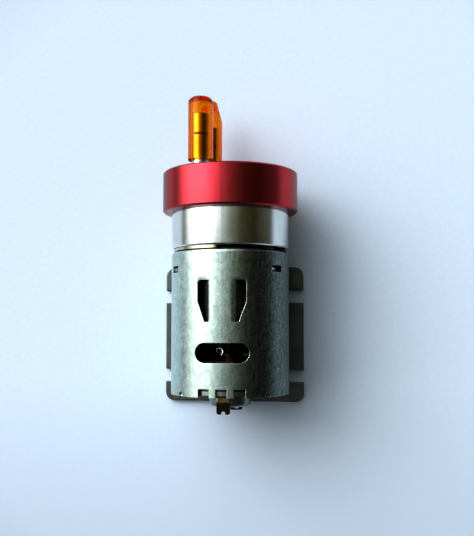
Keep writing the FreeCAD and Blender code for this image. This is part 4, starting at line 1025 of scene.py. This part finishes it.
def paper_floor():
    """Pale paper, with painted shade that makes it a little darker behind the motor's rear end and grey in
    the distance.
    """
    look = Look("paper_floor")
    grain = look.noise(look.place, 900.0, 4.0)
    distance = look.vector("DISTANCE", look.place, FLOOR_CENTRE, "Value")
    # Painted shade: the paper turns grey with distance from the motor.
    far = look.share(distance, FLOOR_NEAR, FLOOR_FAR - FLOOR_NEAR)
    # Painted shade: the paper darkens towards -Y, behind the motor's rear end.
    lower = look.share(look.split(look.place)[1], FLOOR_SHADE_Y, -FLOOR_SHADE_FADE)
    near = look.ramp(grain, (0.3, (0.715, 0.825, 0.975)), (0.7, (0.745, 0.855, 0.995)))
    near = look.mix(lower, near, (0.585, 0.675, 0.81))
    look.set(
        Base_Color=look.mix(far, near, (0.20, 0.21, 0.225)),
        Roughness=0.85,
        Normal=look.bump(grain, 1.5e-5, 0.3),
        Specular_IOR_Level=0.2,
    )
    shape = bmesh.new()
    bmesh.ops.create_grid(shape, x_segments=FLOOR_CELLS, y_segments=FLOOR_CELLS, size=FLOOR_SIZE / 2)
    mesh = to_mesh(shape, "floor")
    mesh.materials.append(look.material)
    floor = bpy.data.objects.new("floor", mesh)
    bpy.context.scene.collection.objects.link(floor)


paper_floor()

WINDOW_CENTRE = 0.30
WINDOW_REACH = 0.38
WINDOW_FADE = 0.26
WINDOW_STRENGTH = 2.08
SKYLIGHT = Vector((-0.40, 0.76, 0.52)).normalized()
SKYLIGHT_EDGE = 0.74
SKYLIGHT_CORE = 0.92
SKYLIGHT_TONE = (0.20, 0.21, 0.22)
GAIN_FROM = 0.09
GAIN_SPAN = 0.16
GAIN_EXTRA = 1.6
ROOM_TONES = (
    (0.25, (0.14, 0.16, 0.14)),
    (0.29, (0.55, 0.58, 0.58)),
    (0.32, (1.0, 1.0, 1.0)),
    (0.41, (1.0, 1.0, 1.0)),
    (0.43, (0.5, 0.54, 0.54)),
    (0.475, (0.25, 0.27, 0.27)),
    (0.52, (0.1, 0.11, 0.09)),
    (0.58, (0.03, 0.03, 0.015)),
    (0.65, (0.015, 0.012, 0.005)),
    (0.75, (0.05, 0.05, 0.04)),
)
FILL_TONES = (
    (0.0, (0.03, 0.031, 0.033)),
    (0.45, (0.05, 0.053, 0.056)),
    (1.0, (0.02, 0.021, 0.022)),
)


def studio_world():
    """A tall soft window on the left, a dim room on the right, and a faint patch high up in front.

    The room's tone depends on the direction round the Y axis, as a share of a turn: 0.5 is
    straight up, 0.25 is level to the left and 0.75 level to the right. Past the window's ends
    along Y a faint fill takes over, and all of it is brighter towards +Y.
    """
    world = bpy.data.worlds.new("studio")
    bpy.context.scene.world = world
    world.use_nodes = True
    graph = Graph(world.node_tree)
    direction = graph.add("ShaderNodeTexCoord").outputs["Generated"]
    across, along, up = graph.split(direction)
    turn = graph.math("DIVIDE", graph.math("ARCTAN2", across, up), 2 * math.pi)
    room = graph.ramp(graph.math("ADD", turn, 0.5), *ROOM_TONES)
    fill = graph.ramp(up, *FILL_TONES)
    off_window = graph.math("ABSOLUTE", graph.math("SUBTRACT", along, WINDOW_CENTRE))
    tone = graph.mix(graph.share(off_window, WINDOW_REACH, WINDOW_FADE), room, fill)
    toward = graph.vector("DOT_PRODUCT", direction, SKYLIGHT, "Value")
    patch = graph.share(toward, SKYLIGHT_EDGE, SKYLIGHT_CORE - SKYLIGHT_EDGE)
    gain = graph.math("MULTIPLY", graph.share(along, GAIN_FROM, GAIN_SPAN), WINDOW_STRENGTH * GAIN_EXTRA)
    glow = graph.add("ShaderNodeBackground")
    graph.feed(
        glow,
        Color=graph.mix(patch, tone, SKYLIGHT_TONE, "ADD"),
        Strength=graph.math("ADD", gain, WINDOW_STRENGTH),
    )
    graph.feed(graph.add("ShaderNodeOutputWorld"), Surface=glow.outputs["Background"])


studio_world()


CAMERA_AT = Vector((25.85, 3.35, 192.06)) * MM
CAMERA_AIM = Vector((-0.62, 17.0, 0.0)) * MM
CAMERA_LENS = 50.38
CAMERA_SENSOR = 36.0
CAMERA_CLIP_START = 0.01
CAMERA_CLIP_END = 10.0


def overhead_camera():
    """Looks down on the motor with +Y up the picture, from a little to the right."""
    data = bpy.data.cameras.new("camera")
    data.sensor_width = CAMERA_SENSOR
    data.lens = CAMERA_LENS
    data.clip_start = CAMERA_CLIP_START
    data.clip_end = CAMERA_CLIP_END
    camera = bpy.data.objects.new("camera", data)
    bpy.context.scene.collection.objects.link(camera)
    back = (CAMERA_AT - CAMERA_AIM).normalized()
    right = Vector((0.0, 1.0, 0.0)).cross(back).normalized()
    up = back.cross(right)
    turn = Matrix((right, up, back)).transposed().to_4x4()
    camera.matrix_world = Matrix.Translation(CAMERA_AT) @ turn
    bpy.context.scene.camera = camera


overhead_camera()

VIEW_GAMMA = 0.78
bpy.context.scene.view_settings.view_transform = "Standard"
bpy.context.scene.view_settings.gamma = VIEW_GAMMA
